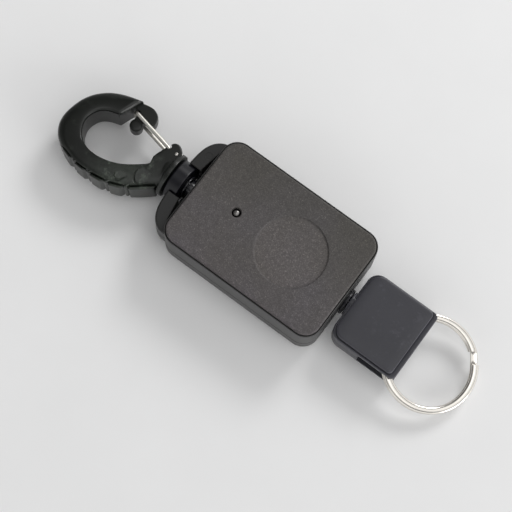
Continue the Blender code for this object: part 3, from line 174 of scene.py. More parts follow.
def block(name, low, high):
    outline = rectangle(*low[:2], *high[:2])
    return stacked(name, [(low[2], outline), (high[2], outline)])


def circle(steps, shift=0.5):
    """Cosine and sine at even steps round a circle; shift is the first one's place in its step."""
    angles = [math.tau * (step + shift) / steps for step in range(steps)]
    return [(math.cos(angle), math.sin(angle)) for angle in angles]


def turned(name, profile, steps, spot=None):
    """Turned solid from a closed profile of (radius, distance along the axis).

    Its axis stands upright at the spot; without one it is the common axis of swivel and cord.
    """
    vertices, rings, whole = [], [], circle(steps)
    for radius, distance in profile:
        ring = []
        for cosine, sine in whole[:1] if radius == 0 else whole:
            across, up = radius * cosine, radius * sine
            ring.append(len(vertices))
            vertices.append((across + spot[0], up + spot[1], distance) if spot
                            else (distance, across, up + AXIS))
        rings.append(ring)
    faces = []
    for ring, other in zip(rings, rings[1:] + rings[:1]):
        for step in range(steps):
            after = (step + 1) % steps
            if len(ring) == 1 and len(other) == 1:
                break
            if len(ring) == 1:
                faces.append((ring[0], other[step], other[after]))
            elif len(other) == 1:
                faces.append((ring[step], other[0], ring[after]))
            else:
                faces.append((ring[step], other[step], other[after], ring[after]))
    return make_object(name, vertices, faces)


def rod(name, radius, low, high, steps, spot=None):
    return turned(name, [(0, low), (radius, low), (radius, high), (0, high)], steps, spot)


def rounded_profile(corners, steps):
    """Profile from (radius, distance, round): each corner is replaced by an arc of that size."""
    profile = []
    count = len(corners)
    for index, (radius, distance, fillet) in enumerate(corners):
        here = Vector((radius, distance))
        if fillet == 0:
            profile.append(tuple(here))
            continue
        before = (Vector(corners[index - 1][:2]) - here).normalized()
        after = (Vector(corners[(index + 1) % count][:2]) - here).normalized()
        for step in range(steps + 1):
            t = step / steps
            a, b = here + before * fillet, here + after * fillet
            profile.append(tuple(a * (1 - t) ** 2 + here * 2 * t * (1 - t) + b * t ** 2))
    return profile


def turned_soft(name, corners, arc_steps, steps, spot=None):
    """Turned solid from corners of (radius, distance, round)."""
    return turned(name, rounded_profile(corners, arc_steps), steps, spot)


def soft_rod(name, radius, half, fillet, arc_steps, steps, spot):
    """Upright rod with rounded ends, half above and half below the axis."""
    low, high = AXIS - half, AXIS + half
    return turned_soft(name, [(0, low, 0), (radius, low, fillet), (radius, high, fillet), (0, high, 0)],
                       arc_steps, steps, spot)


def pipe(name, path, radius, sides):
    """Round wire along a path, capped."""
    points = [Vector(point) for point in path]
    rings = []
    tangent = (points[1] - points[0]).normalized()
    side = tangent.cross(Vector((0.3, 0.2, 1.0))).normalized()
    for index, point in enumerate(points):
        before = points[max(index - 1, 0)]
        after = points[min(index + 1, len(points) - 1)]
        new_tangent = (after - before).normalized()
        side = (side - new_tangent * side.dot(new_tangent)).normalized()
        up = new_tangent.cross(side)
        size = radius[index] if isinstance(radius, list) else radius
        rings.append([tuple(point + (side * cosine + up * sine) * size)
                      for cosine, sine in circle(sides, 0.0)])
    return lofted(name, rings)


def smooth_through(points, steps):
    padded = [points[0], *points, points[-1]]
    curve = []
    for index in range(len(points) - 1):
        p0, p1, p2, p3 = (Vector(point) for point in padded[index:index + 4])
        for step in range(steps):
            t = step / steps
            curve.append(tuple(0.5 * (
                2 * p1 + (p2 - p0) * t + (2 * p0 - 5 * p1 + 4 * p2 - p3) * t ** 2
                + (3 * p1 - p0 - 3 * p2 + p3) * t ** 3)))
    curve.append(tuple(points[-1]))
    return curve


def resampled(points, count):
    """Points evenly spaced along a line."""
    places = [Vector(point) for point in points]
    lengths = [0.0]
    for a, b in zip(places, places[1:]):
        lengths.append(lengths[-1] + (b - a).length)
    result, index = [], 0
    for step in range(count):
        want = lengths[-1] * step / (count - 1)
        while index < len(lengths) - 2 and lengths[index + 1] < want:
            index += 1
        share = (want - lengths[index]) / (lengths[index + 1] - lengths[index])
        result.append(places[index].lerp(places[index + 1], share))
    return result


def rounded_rectangle(length, width, corners, centre_x=0.0, steps=12):
    signs = ((1, 1), (-1, 1), (-1, -1), (1, -1))
    outline = []
    for quarter, ((sign_x, sign_y), radius) in enumerate(zip(signs, corners)):
        middle_x = centre_x + sign_x * (length / 2 - radius)
        middle_y = sign_y * (width / 2 - radius)
        for step in range(steps + 1):
            angle = (quarter + step / steps) * math.pi / 2
            outline.append((middle_x + radius * math.cos(angle), middle_y + radius * math.sin(angle)))
    return outline


def inset(outline, distance):
    """Anticlockwise outline moved inwards."""
    moved = []
    for index, here in enumerate(outline):
        before = Vector(outline[index - 1])
        after = Vector(outline[(index + 1) % len(outline)])
        here = Vector(here)
        edges = (here - before).normalized(), (after - here).normalized()
        first, second = (Vector((-edge.y, edge.x)) for edge in edges)
        moved.append(tuple(here + (first + second) * (distance / (1 + first.dot(second)))))
    return moved


def arc(steps, span=math.pi / 2):
    """Sine, and what the cosine falls short of 1, at even steps of an angle."""
    angles = [span * step / steps for step in range(steps + 1)]
    return [(math.sin(angle), 1 - math.cos(angle)) for angle in angles]


def round_up(outline_at, low, high, radius, steps, start=0.0):
    """Levels of a wall from low to high whose top edge is rounded."""
    return [(low, outline_at(start))] + [
        (high - radius + radius * rise, outline_at(start + radius * fall)) for rise, fall in arc(steps)]


def settle(piece):
    """Apply what modifiers a piece has."""
    depsgraph = bpy.context.evaluated_depsgraph_get()
    mesh = bpy.data.meshes.new_from_object(piece.evaluated_get(depsgraph))
    old = piece.data
    piece.modifiers.clear()
    piece.data = mesh
    bpy.data.meshes.remove(old)


def combine(piece, operation, *tools):
    for tool in tools:
        modifier = piece.modifiers.new("tool", "BOOLEAN")
        modifier.operation = operation
        modifier.solver = "EXACT"
        modifier.object = tool
        bpy.context.view_layer.update()
        settle(piece)
        bpy.data.objects.remove(tool, do_unlink=True)


def cut(piece, *tools):
    combine(piece, "DIFFERENCE", *tools)


def join(piece, *tools):
    combine(piece, "UNION", *tools)


def dress(piece, material, body=None, nodes=(), sharp=32):
    """Give a finished piece its shading, its material and its place in the frame."""
    mesh = piece.data
    mesh.materials.clear()
    mesh.materials.append(material)
    mesh.shade_smooth()
    mesh.set_sharp_from_angle(angle=math.radians(sharp))
    weighted = piece.modifiers.new("weighted", "WEIGHTED_NORMAL")
    weighted.keep_sharp = True
    bpy.context.view_layer.update()
    settle(piece)
    if nodes:
        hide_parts(*nodes)
    if body:
        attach(piece, body)


# Materials

class Graph:
    """Shader nodes of a material or of the world."""

    def __init__(self, owner):
        owner.use_nodes = True
        self.nodes, self.links = owner.node_tree.nodes, owner.node_tree.links

    def feed(self, socket, value):
        if isinstance(value, bpy.types.NodeSocket):
            self.links.new(value, socket)
        else:
            socket.default_value = value

    def add(self, kind, *values, **settings):
        """New node; the values go into its first sockets."""
        node = self.nodes.new("ShaderNode" + kind)
        for name, value in settings.items():
            setattr(node, name, value)
        for socket, value in zip(node.inputs, values):
            self.feed(socket, value)
        return node

    def fill(self, node, **values):
        """Give a node's named sockets their values."""
        for name, value in values.items():
            self.feed(node.inputs[name], value)
        return node.outputs

    def place(self, output="Object"):
        return self.add("TexCoord").outputs[output]

    def math(self, operation, *values):
        return self.add("Math", *values, operation=operation).outputs["Value"]

    def measure(self, operation, first, second):
        return self.add("VectorMath", first, second, operation=operation).outputs["Value"]

    def split(self, vector):
        return self.add("SeparateXYZ", vector).outputs

    def stretched(self, value, from_low, from_high, to_low=0.0, to_high=1.0):
        return self.add("MapRange", value, from_low, from_high, to_low, to_high).outputs["Result"]

    def noise(self, vector, size, detail, roughness):
        """Noise whose grain has about the given size in millimetres."""
        node = self.add("TexNoise", vector)
        return self.fill(node, Scale=1 / (size * MM), Detail=detail, Roughness=roughness)["Fac"]

    def ramp(self, factor, stops):
        node = self.add("ValToRGB", factor)
        elements = node.color_ramp.elements
        while len(elements) < len(stops):
            elements.new(0.5)
        for element, (place, value) in zip(elements, stops):
            element.position = place
            element.color = (*value, 1.0) if isinstance(value, tuple) else (value, value, value, 1.0)
        return node.outputs["Color"]

    def mix(self, factor, first, second, blend="MIX"):
        node = self.add("Mix", data_type="RGBA", blend_type=blend)
        return self.fill(node, Factor=factor, A=first, B=second)["Result"]

    def times(self, tone, *others):
        for other in others:
            tone = self.mix(1.0, tone, other, "MULTIPLY")
        return tone

    def shade(self, socket, value):
        self.feed(self.nodes["Principled BSDF"].inputs[socket], value)

    def bump(self, height, strength, distance):
        bumped = self.fill(self.add("Bump"), Strength=strength, Distance=distance * MM, Height=height)
        self.shade("Normal", bumped["Normal"])


def new_material(name):
    material = bpy.data.materials.new(name)
    return material, Graph(material)


def scaled(colour, factor):
    return tuple(channel * factor for channel in colour)


def plastic(name, colour, roughness, grain, depth, smudge, speckle=0.05, strength=0.3, specular=0.5,
            scuff=0.0, painted_edge_highlight=0.0, painted_light_patch=None):
    """Moulded plastic: fine grain, speckle, broad faint smudges, small pale scuffs and painted highlights on
    sloping faces and edges.

    The last argument gives the middle and radius of a mottled patch of painted light, paler than the rest.
    """
    material, graph = new_material(name)
    vector = graph.place()
    fine = graph.noise(vector, grain, 4.0, 0.65)
    broad = graph.noise(vector, 18.0, 4.0, 0.6)
    scuffs = graph.noise(vector, 3.2, 6.0, 0.72)
    upright = graph.math("ABSOLUTE", graph.split(graph.place("Normal"))["Z"])
    # The third tone is a painted highlight: faces that slope between upright and level are made paler.
    tones = [graph.ramp(broad, [(0.3, 1 - smudge), (0.7, 1 + smudge)]),
             graph.ramp(scuffs, [(0.56, 1.0), (0.72, 1 + scuff)]),
             graph.ramp(upright, [(0.35, 1.0), (0.6, 1 + painted_edge_highlight), (0.85, 1 + painted_edge_highlight), (0.97, 1.0)])]
    # Painted light: a mottled paler patch round a point, fading to nothing at the radius.
    if painted_light_patch:
        centre, radius = painted_light_patch
        away = graph.measure("DISTANCE", vector, scaled(centre, MM))
        patches = graph.ramp(graph.noise(vector, 1.6, 6.0, 0.75), [(0.35, 0.5), (0.65, 1.5)])
        patchy = graph.times(graph.stretched(away, 0.0, radius * MM, 1.0, 0.0), patches)
        tones.append(graph.ramp(patchy, [(0.1, 1.0), (0.9, 4.6)]))
    speckled = graph.ramp(fine, [(0.3, scaled(colour, 1 - speckle)), (0.55, colour),
                                 (0.75, scaled(colour, 1 + 1.6 * speckle))])
    graph.shade("Base Color", graph.times(speckled, graph.times(*tones)))
    graph.shade("Roughness", graph.ramp(broad, [(0.3, roughness - 0.05), (0.7, roughness + 0.05)]))
    graph.shade("Specular IOR Level", specular)
    graph.bump(fine, strength, depth)
    return material


def case_plastic(name):
    """Case: dark moulded plastic, with a paler spark-eroded grain on the raised plate."""
    material, graph = new_material(name)
    vector = graph.place()
    split = graph.split(vector)
    fine = graph.noise(vector, 0.34, 2.0, 0.6)
    medium = graph.noise(vector, 1.1, 3.0, 0.6)
    broad = graph.noise(vector, 20.0, 3.0, 0.5)

    # Plate: grain, paler in the round recess, and painted shade: darker toward the +Y long side, a little
    # paler toward -Y
    grained = graph.times(
        graph.ramp(fine, [(0.36, (0.054, 0.050, 0.049)), (0.52, (0.070, 0.066, 0.066)),
                          (0.62, (0.082, 0.077, 0.077)), (0.72, (0.150, 0.142, 0.135))]),
        graph.ramp(medium, [(0.3, 0.86), (0.7, 1.14)]),
        graph.ramp(broad, [(0.35, (0.94, 0.92, 0.86)), (0.65, (1.04, 1.02, 1.06))]))
    from_middle = graph.measure("DISTANCE", vector, (SPOOL_X * MM, 0.0, DISC_FLOOR * MM))
    in_disc = graph.math("LESS_THAN", from_middle, 10.1 * MM)
    grained = graph.mix(in_disc, grained, graph.times(grained, (1.24, 1.22, 1.20, 1.0)))
    # Painted shade across the plate: darker toward +Y, a little paler and more purple toward -Y.
    across = graph.stretched(split["Y"], -BODY_WIDTH / 2 * MM, BODY_WIDTH / 2 * MM)
    grained = graph.times(grained, graph.ramp(
        across, [(0.0, (1.06, 1.03, 1.07)), (0.45, (1.0, 0.99, 1.0)), (1.0, (0.76, 0.76, 0.71))]))

    # Wall, by height: painted light makes the case's walls paler than the bail, a band of painted shade
    # darkens the groove under the ledge, and a painted highlight makes the ledge's lip paler; the bail beyond
    # the case has none of these
    foot, lip = (LEDGE_TOP - 0.35) / CASE_TOP, (LEDGE_TOP - 0.14) / CASE_TOP
    wall = graph.ramp(graph.stretched(split["Z"], 0.0, CASE_TOP * MM), [
        (foot - 0.004, 2.1), (foot, 0.6), (lip, 0.6), (lip + 0.002, 2.4)])
    on_case = graph.math("GREATER_THAN", split["X"], -(CASE_END - 0.04) * MM)
    smooth = graph.times(
        graph.ramp(broad, [(0.3, (0.0125, 0.0125, 0.0118)), (0.7, (0.0165, 0.0162, 0.0160))]),
        graph.mix(on_case, (1.0, 1.0, 1.0, 1.0), wall))

    on_plate = graph.math("GREATER_THAN", split["Z"], (LEDGE_TOP + 0.02) * MM)
    graph.shade("Base Color", graph.mix(on_plate, smooth, grained))
    graph.shade("Roughness", graph.stretched(on_plate, 0.0, 1.0, 0.42, 0.62))
    graph.bump(fine, graph.stretched(on_plate, 0.0, 1.0, 0.18, 0.6), 0.045)
    return material


def metal(name, colour, roughness, scratch=0.006):
    """Plated metal with fine scratches and slight variation of tone."""
    material, graph = new_material(name)
    vector = graph.place()
    fine = graph.noise(vector, 0.25, 5.0, 0.7)
    broad = graph.noise(vector, 5.0, 3.0, 0.5)
    graph.shade("Base Color", graph.ramp(broad, [(0.3, scaled(colour, 0.94)), (0.7, scaled(colour, 1.06))]))
    graph.shade("Roughness", graph.ramp(fine, [(0.3, roughness - 0.04), (0.7, roughness + 0.06)]))
    graph.shade("Metallic", 1.0)
    graph.bump(fine, 0.3, scratch)
    return material


def fibre(name, colour, pitch, radius, strands=4):
    """Braided cord along X: two families of strands that cross."""
    material, graph = new_material(name)
    vector = graph.place()
    split = graph.split(vector)
    angle = graph.math("ARCTAN2", split["Y"], graph.math("SUBTRACT", split["Z"], AXIS * MM))
    along = graph.math("MULTIPLY", split["X"], math.tau / (pitch * MM))
    around = graph.math("MULTIPLY", angle, strands)
    waves = [graph.math("SINE", graph.math(way, along, around)) for way in ("ADD", "SUBTRACT")]
    height = graph.math("MAXIMUM", *waves)
    fine = graph.noise(vector, 0.08, 3.0, 0.6)
    weave = graph.ramp(graph.math("MULTIPLY_ADD", height, 0.5), [
        (0.0, scaled(colour, 0.35)), (0.6, colour), (1.0, scaled(colour, 1.5))])
    graph.shade("Base Color", graph.mix(fine, weave, (*scaled(colour, 1.3), 1.0)))
    graph.shade("Roughness", 0.75)
    graph.shade("Sheen Weight", 0.3)
    graph.bump(height, 0.8, radius / 4)
    return material


CASE = case_plastic("case_grained")
# Painted highlight on sloping faces and edges, such as the rim of the tag's panel.
SMOOTH = plastic("plastic_smooth", (0.036, 0.036, 0.043), 0.34, grain=0.6, depth=0.008, smudge=0.14,
                 specular=0.38, scuff=0.7, painted_edge_highlight=1.1)
BARREL = plastic("plastic_barrel", (0.005, 0.005, 0.008), 0.34, grain=0.6, depth=0.006, smudge=0.1,
                 specular=0.36)
# The hook carries painted highlights on its sloping faces and a painted patch of light on its lower arm.
HOOK = plastic("plastic_hook", (0.0052, 0.0062, 0.0050), 0.32, grain=0.5, depth=0.012, strength=0.35,
               speckle=0.10, smudge=0.18, specular=0.42, scuff=2.4, painted_edge_highlight=0.6,
               painted_light_patch=((-44.5, -10.0, 12.0), 14.0))
INNER = plastic("plastic_inner", (0.55, 0.55, 0.53), 0.4, grain=0.8, depth=0.01, smudge=0.05,
                speckle=0.04)
BLACKENED = plastic("coated_stud", (0.016, 0.016, 0.020), 0.26, grain=0.4, depth=0.006, smudge=0.1,
                    speckle=0.08, specular=0.6)
STEEL = metal("steel_plated", (0.62, 0.60, 0.57), 0.26)
DULL_STEEL = metal("steel_dull", (0.30, 0.29, 0.28), 0.36)
POLISHED = metal("steel_polished", (0.74, 0.71, 0.66), 0.17, scratch=0.0012)
WIRE = metal("wire_polished", (0.69, 0.67, 0.62), 0.34, scratch=0.003)
SPRING = metal("steel_spring", (0.30, 0.31, 0.34), 0.28)
BRASS = metal("brass_plain", (0.72, 0.52, 0.22), 0.28)
CORD = fibre("cord_braided", (0.030, 0.030, 0.032), 0.9, 0.6)
FINISHES = {
    "case_plastic": CASE, "smooth_plastic": SMOOTH, "hook_plastic": HOOK, "black_metal": BLACKENED,
    "inner_plastic": INNER, "steel": STEEL, "polished_steel": POLISHED, "spring_steel": SPRING,
    "brass": BRASS, "cord": CORD,
}
for entry in frame["record"]["subparts"]:
    data = frame["nodes"][entry["node"]].data
    data.materials.clear()
    data.materials.append(FINISHES[entry["material_slot"]])


# Case

def body_outline(inward=0.0):
    return rounded_rectangle(2 * (CASE_END - inward), BODY_WIDTH - 2 * inward, [BODY_CORNER - inward] * 4)


def bail_outline(inward=0.0):
    shares = [(0.0, 1.0), (0.2, 0.985), (0.45, 0.935), (0.68, 0.845), (0.85, 0.72), (0.95, 0.56), (1.0, 0.38)]
    half = smooth_through([(-CASE_END - reach * BAIL_REACH, width * BAIL_HALF) for reach, width in shares], 5)
    outline = [(-CASE_END + 1.6, BAIL_HALF), *half]
    outline += [(x, -y) for x, y in reversed(outline)]
    return inset(outline, inward) if inward else outline


def slot_outline(outward=0.0):
    """Slot between bail and case, with a pocket in front of the barrel."""
    half = [(-CASE_END, 12.1), (-CASE_END - 0.85, 12.1), (-CASE_END - 1.95, 5.5), (-CASE_END - 1.95, 5.0),
            (BARREL_END - 3.0, 5.0)]
    outline = half + [(x, -y) for x, y in reversed(half)]
    return [(x + (outward if x == -CASE_END else -outward * (x > BARREL_END)), y + math.copysign(outward, y))
            for x, y in outline]


def cut_bail(bail, low, high, front):
    """One half of the bail with its slot, its seat for the barrel and the tongues that hold the barrel."""
    if front:
        flare = 0.18
        levels = [(low - 3, slot_outline()), (high - flare, slot_outline()),
                  (high + flare, slot_outline(2 * flare)), (high + 3, slot_outline(2 * flare))]
        space_end = -CASE_END - 1.95
    else:
        levels = [(low + WEB, slot_outline()), (high + 3, slot_outline())]
        space_end = BARREL_END + 0.4
    cut(bail, stacked("slot", levels),
        rod("barrel_space", BARREL_RADIUS + GAP, BARREL_END - 2 * BARREL_LENGTH, space_end, 96))
    for side in (1, -1):
        inner, outer = side * (BARREL_RADIUS + GAP - 0.9), side * (BARREL_RADIUS + 0.9)
        join(bail, block("tongue", (BARREL_END - 2.2, min(inner, outer), max(low + 0.05, AXIS - 2.5)),
                         (BARREL_END - 1.0, max(inner, outer), min(high - 0.05, AXIS + 2.5))))
    return bail


def eyelet_hole():
    return rod("eyelet_hole", 3.3, 21.2, 29, 64)


def make_front():
    low = SEAM + SEAM_LINE
    levels = [(low, body_outline(0.14)), (low + 0.14, body_outline())]
    levels += round_up(body_outline, low + 0.3, LEDGE_TOP, 0.2, 3)
    levels += [(LEDGE_TOP - 0.12, body_outline(LEDGE - 0.14)), (LEDGE_TOP - 0.3, body_outline(LEDGE - 0.04))]
    levels += round_up(body_outline, LEDGE_TOP - 0.25, CASE_TOP, PLATE_ROUND, 5, LEDGE)
    shell = stacked("case_front", levels)
    cut(shell, stacked("hollow", [(low - 3, body_outline(WALL)), (CASE_TOP - WALL, body_outline(WALL))]))
    bail = stacked("bail", round_up(bail_outline, low, BAIL_HIGH, 0.55, 5))
    join(shell, cut_bail(bail, low, BAIL_HIGH, True))
    top_inside = CASE_TOP - WALL + 0.2
    for spot in [*SCREW_PLACES, (RIVET_X, 0.0)]:
        join(shell, rod("boss", BOSS_RADIUS, low + 0.1, top_inside, 32, spot))
    join(shell, rod("boss", ARBOR_BOSS_RADIUS, 13.9, top_inside, 48, (SPOOL_X, 0)))

    above = CASE_TOP + 2
    recess = rounded_profile([(0, DISC_FLOOR, 0), (10.15, DISC_FLOOR, 0.25), (10.5, CASE_TOP - 0.1, 0.12)], 4)
    recess += [(10.68, CASE_TOP + 0.03), (10.68, above), (0, above)]
    dimple = [(0, CASE_TOP - 0.55), (1.4, CASE_TOP - 0.55), (1.47, CASE_TOP - 0.45), (1.5, CASE_TOP - 0.08),
              (1.58, CASE_TOP + 0.01), (1.58, above), (0, above)]
    cut(shell, turned("recess", recess, 128, (SPOOL_X, 0)), turned("dimple", dimple, 48, (RIVET_X, 0)),
        rod("rivet_hole", 1.3, 4, CASE_TOP - 0.5, 32, (RIVET_X, 0)),
        rod("socket", SOCKET_RADIUS, 10, 15.1, 48, (SPOOL_X, 0)), eyelet_hole())
    for spot in SCREW_PLACES:
        cut(shell, rod("pilot", 1.2, 4, 11.9, 24, spot))
    # Shallow round recess on one arm of the bail
    cut(shell, turned("mark", [(0, BAIL_HIGH - 0.1), (1.05, BAIL_HIGH - 0.1), (1.15, BAIL_HIGH + 0.05),
                               (1.15, BAIL_HIGH + 1), (0, BAIL_HIGH + 1)], 32, (-28.75, 9.9)))
    dress(shell, CASE, "case", ["front_shell"])


def make_rear():
    high = SEAM - SEAM_LINE
    levels = [(BELLY * fall, body_outline(BELLY * (1 - rise))) for rise, fall in arc(12)]
    levels += [(high - 0.14, body_outline()), (high, body_outline(0.14))]
    shell = stacked("case_rear", levels)
    cut(shell, stacked("hollow", [(WALL, body_outline(WALL)), (high + 3, body_outline(WALL))]))
    bail_levels = [(BAIL_LOW + high - height, outline)
                   for height, outline in reversed(round_up(bail_outline, BAIL_LOW, high, 0.8, 5))]
    join(shell, cut_bail(stacked("bail", bail_levels), BAIL_LOW, high, False))
    for spot in [*SCREW_PLACES, (RIVET_X, 0.0)]:
        join(shell, rod("boss", BOSS_RADIUS, 1.5, high - 0.1, 32, spot))
    join(shell, rod("boss", ARBOR_BOSS_RADIUS, 1.5, 3.0, 48, (SPOOL_X, 0)))
    # Each seat: place, then radius and depth for the head and radius for the shank
    seats = [(spot, 2.1, 1.6, 1.2) for spot in [*SCREW_PLACES, (SPOOL_X, 0.0)]]
    seats.append(((RIVET_X, 0.0), 2.3, 1.4, 1.3))
    for spot, head, depth, shank in seats:
        cut(shell, turned("seat", [(0, -2), (head + 0.15, -2), (head + 0.15, 0), (head, 0.15), (head, depth),
                                   (shank, depth), (shank, high + 2), (0, high + 2)], 40, spot))
    cut(shell, rod("socket", SOCKET_RADIUS, 1.8, 6, 48, (SPOOL_X, 0)), eyelet_hole())
    dress(shell, CASE, "case", ["rear_shell"])


def make_screw(name, x, y, low, length, body):
    """Cross-recessed screw, head down."""
    head, shank, top = 1.8, 0.9, low + length
    piece = turned_soft(name + "_fine", [
        (0, low, 0), (head, low, 0.35), (head, low + 1.0, 0.05), (shank, low + 1.0, 0),
        (shank, top - 0.8, 0), (0.15, top, 0), (0, top, 0)], 3, 40, (x, y))
    for angle in (0.4, 0.4 + math.pi / 2):
        bar = stacked("recess", [(low - 1, rectangle(-1.05, -0.2, 1.05, 0.2)),
                                 (low + 0.7, rectangle(-0.4, -0.12, 0.4, 0.12))])
        bar.data.transform(Matrix.Translation((x * MM, y * MM, 0)) @ Matrix.Rotation(angle, 4, "Z"))
        cut(piece, bar)
    dress(piece, STEEL, body, [name])


def make_fasteners():
    for index, (x, y) in enumerate(SCREW_PLACES):
        make_screw("rear_screw_%d" % (index + 1), x, y, 0.3, 11.3, "case")
    make_screw("arbor_screw", SPOOL_X, 0.0, 0.3, 4.5, "case")
    for index, side in enumerate((-1, 1)):
        make_screw("tag_screw_%d" % (index + 1), TAG_SCREW_X, side * TAG_SCREW_Y, 3.3, 6.2, "tag")
    dome = CASE_TOP - 0.3
    profile = [(0, 0.3), (1.7, 0.3), (2.0, 0.5), (2.0, 1.1), (1.0, 1.1)]
    for step in range(8):
        angle = math.pi / 2 * step / 8
        profile.append((math.cos(angle), dome - 0.7 + 0.7 * math.sin(angle)))
    rivet = turned("case_rivet_fine", profile + [(0, dome)], 48, (RIVET_X, 0))
    dress(rivet, DULL_STEEL, "case", ["case_rivet"])


# Swivel

def make_swivel():
    far = BARREL_END - BARREL_LENGTH
    barrel = turned_soft("barrel_fine", [
        (2.3, far, 0.15), (5.95, far, 0.55), (5.95, BARREL_END, 0.55), (2.3, BARREL_END, 0.15)], 5, 96)
    for low, high in ((5.1, 9), (-9, -5.1)):
        cut(barrel, block("notch", (BARREL_END - 2.5, low, AXIS - 2.8), (BARREL_END - 0.7, high, AXIS + 2.8)))
    dress(barrel, BARREL, "case", ["swivel_barrel"])
    head = BARREL_END + 1.05
    stud = turned_soft("stud_fine", [
        (0, STUD_FACE - 1.1, 0), (2.9, STUD_FACE - 1.1, 0.2), (2.9, STUD_FACE, 0.2), (2.0, STUD_FACE, 0),
        (2.0, head, 0), (2.6, head, 0.1), (2.6, head + 1.7, 0.8), (0, head + 1.75, 0)], 5, 64)
    dress(stud, BLACKENED, "carabiner", ["swivel_stud"])
    low, high = BARREL_END + 0.3, BARREL_END + 0.75
    washer = turned_soft("stud_washer_fine", [
        (2.3, low, 0.05), (3.6, low, 0.1), (3.6, high, 0.1), (2.3, high, 0.05)], 3, 64)
    dress(washer, BLACKENED, "carabiner", ["stud_washer"])


# Snap hook

# A place on the arm is a share of its length: 0 at its free end, 1 at the lug, a little more on the root.
ARM_STATIONS, ROOT_STEPS, ROOT_SHARE = 104, 4, 0.06
END_DROP = 0.8                           # bevel at the free end
TREAD_START, TREAD_END = 0.526, 1.045
TREAD_GAPS = (0.633, 0.722, 0.818, 0.913)
TREAD_SLANT = -0.004
RIB_SHARE = 0.024                        # width of the rib that starts each scale


def arm_lines():
    """Outer and inner edge of the arm as paired stations; the last ones run round the lug to the flange."""
    edges = []
    for arm, root in zip((HOOK_BACK, HOOK_MOUTH), zip(*HOOK_ROOT)):
        edges.append(resampled(smooth_through(arm, 8), ARM_STATIONS)
                     + [Vector(point) for point in smooth_through(root, ROOT_STEPS)[1:]])
    return edges


def station_share(index):
    beyond = index - (ARM_STATIONS - 1)
    if beyond <= 0:
        return index / (ARM_STATIONS - 1)
    return 1 + ROOT_SHARE * beyond / (ROOT_STEPS * (len(HOOK_ROOT) - 1))


def arm_at(lines, share):
    """Outer and inner edge at a share of the arm."""
    outer, inner = lines
    if share <= 1:
        place = max(share, 0.0) * (ARM_STATIONS - 1)
    else:
        place = ARM_STATIONS - 1 + (share - 1) / ROOT_SHARE * ROOT_STEPS * (len(HOOK_ROOT) - 1)
    index = min(int(place), len(outer) - 2)
    place = min(place - index, 1.0)
    return outer[index].lerp(outer[index + 1], place), inner[index].lerp(inner[index + 1], place)


def eased(low, high, value):
    """Smooth step from 0 to 1 as the value goes from low to high."""
    t = min(max((value - low) / (high - low), 0.0), 1.0)
    return t * t * (3 - 2 * t)


def between(first, second, share):
    """Profile a share of the way from one profile to another."""
    return [(a + (c - a) * share, b + (d - b) * share) for (a, b), (c, d) in zip(first, second)]


def tread_sunk(share):
    """How far the arm's wall stands back behind the tread, which leaves the crease open."""
    return 0.85 * eased(TREAD_START + 0.02, TREAD_START + 0.08, share) + 0.5 * eased(0.62, 0.8, share)


def arm_section(outer, inner, share):
    """Half section of the arm as (point in plan, height above the axis), outer edge to inner edge."""
    across = inner - outer
    width = across.length
    direction = across / width
    sunk = tread_sunk(share)
    soft = 0.45 + 0.55 * eased(0.0, 0.12, share)
    rounded = [(0.0, 0.0), (0.0, 2.2), (0.05, 3.2), (0.25 * soft, 3.75), (0.6 * soft, 4.2),
               (1.1 * soft, 4.52), (1.8 * soft, 4.75), (2.7 * soft, 4.9)]
    crisp = [(0.0, 0.0), (0.0, 2.2), (0.0, 3.4), (0.05, 4.1), (0.25, 4.42), (0.6, 4.58), (1.3, 4.74),
             (2.4, 4.92)]
    on_tread = eased(TREAD_START, TREAD_START + 0.1, share)
    points = [(outer + direction * (sunk + depth), height)
              for depth, height in between(rounded, crisp, on_tread)]
    middle = max(width * 0.6, sunk + 2.9)
    points.append((outer + direction * middle, ARM_HALF))
    bevelled = [(1.6, 4.99), (1.0, 4.93), (0.62, 4.80), (0.5, 4.70), (0.42, 4.32), (0.22, 4.34), (0.13, 4.55),
                (0.05, 4.48), (0.0, 4.3), (0.0, 2.0), (0.0, 0.0)]
    plain = [(1.6, 5.0), (1.0, 4.99), (0.62, 4.97), (0.5, 4.96), (0.4, 4.94), (0.28, 4.9), (0.17, 4.82),
             (0.08, 4.7), (0.0, 4.5), (0.0, 2.0), (0.0, 0.0)]
    on_root = eased(0.93, 1.0, share)
    points += [(inner - direction * depth, height) for depth, height in between(bevelled, plain, on_root)]
    highest = ARM_HALF - END_DROP * max(0.0, 1 - share * (ARM_STATIONS - 1) / 2) ** 1.7
    return [(point, min(height, highest)) for point, height in points]


def make_arm():
    rings = []
    for index, (outer, inner) in enumerate(zip(*arm_lines())):
        half = arm_section(outer, inner, station_share(index))
        rings.append([(p.x, p.y, AXIS + h) for p, h in half]
                     + [(p.x, p.y, AXIS - h) for p, h in reversed(half[1:-1])])
    return lofted("hook_fine", rings)


def along_back(lines, half, share_at):
    """Ring from a half section of (depth from the outer edge, height above the axis).

    share_at gives the share of the arm for each height, so that the ring can slant.
    """
    ring = []
    for depth, height in half + [(depth, -height) for depth, height in reversed(half)]:
        outer, inner = arm_at(lines, share_at(height))
        point = outer + (inner - outer).normalized() * depth
        ring.append((point.x, point.y, AXIS + height))
    return ring


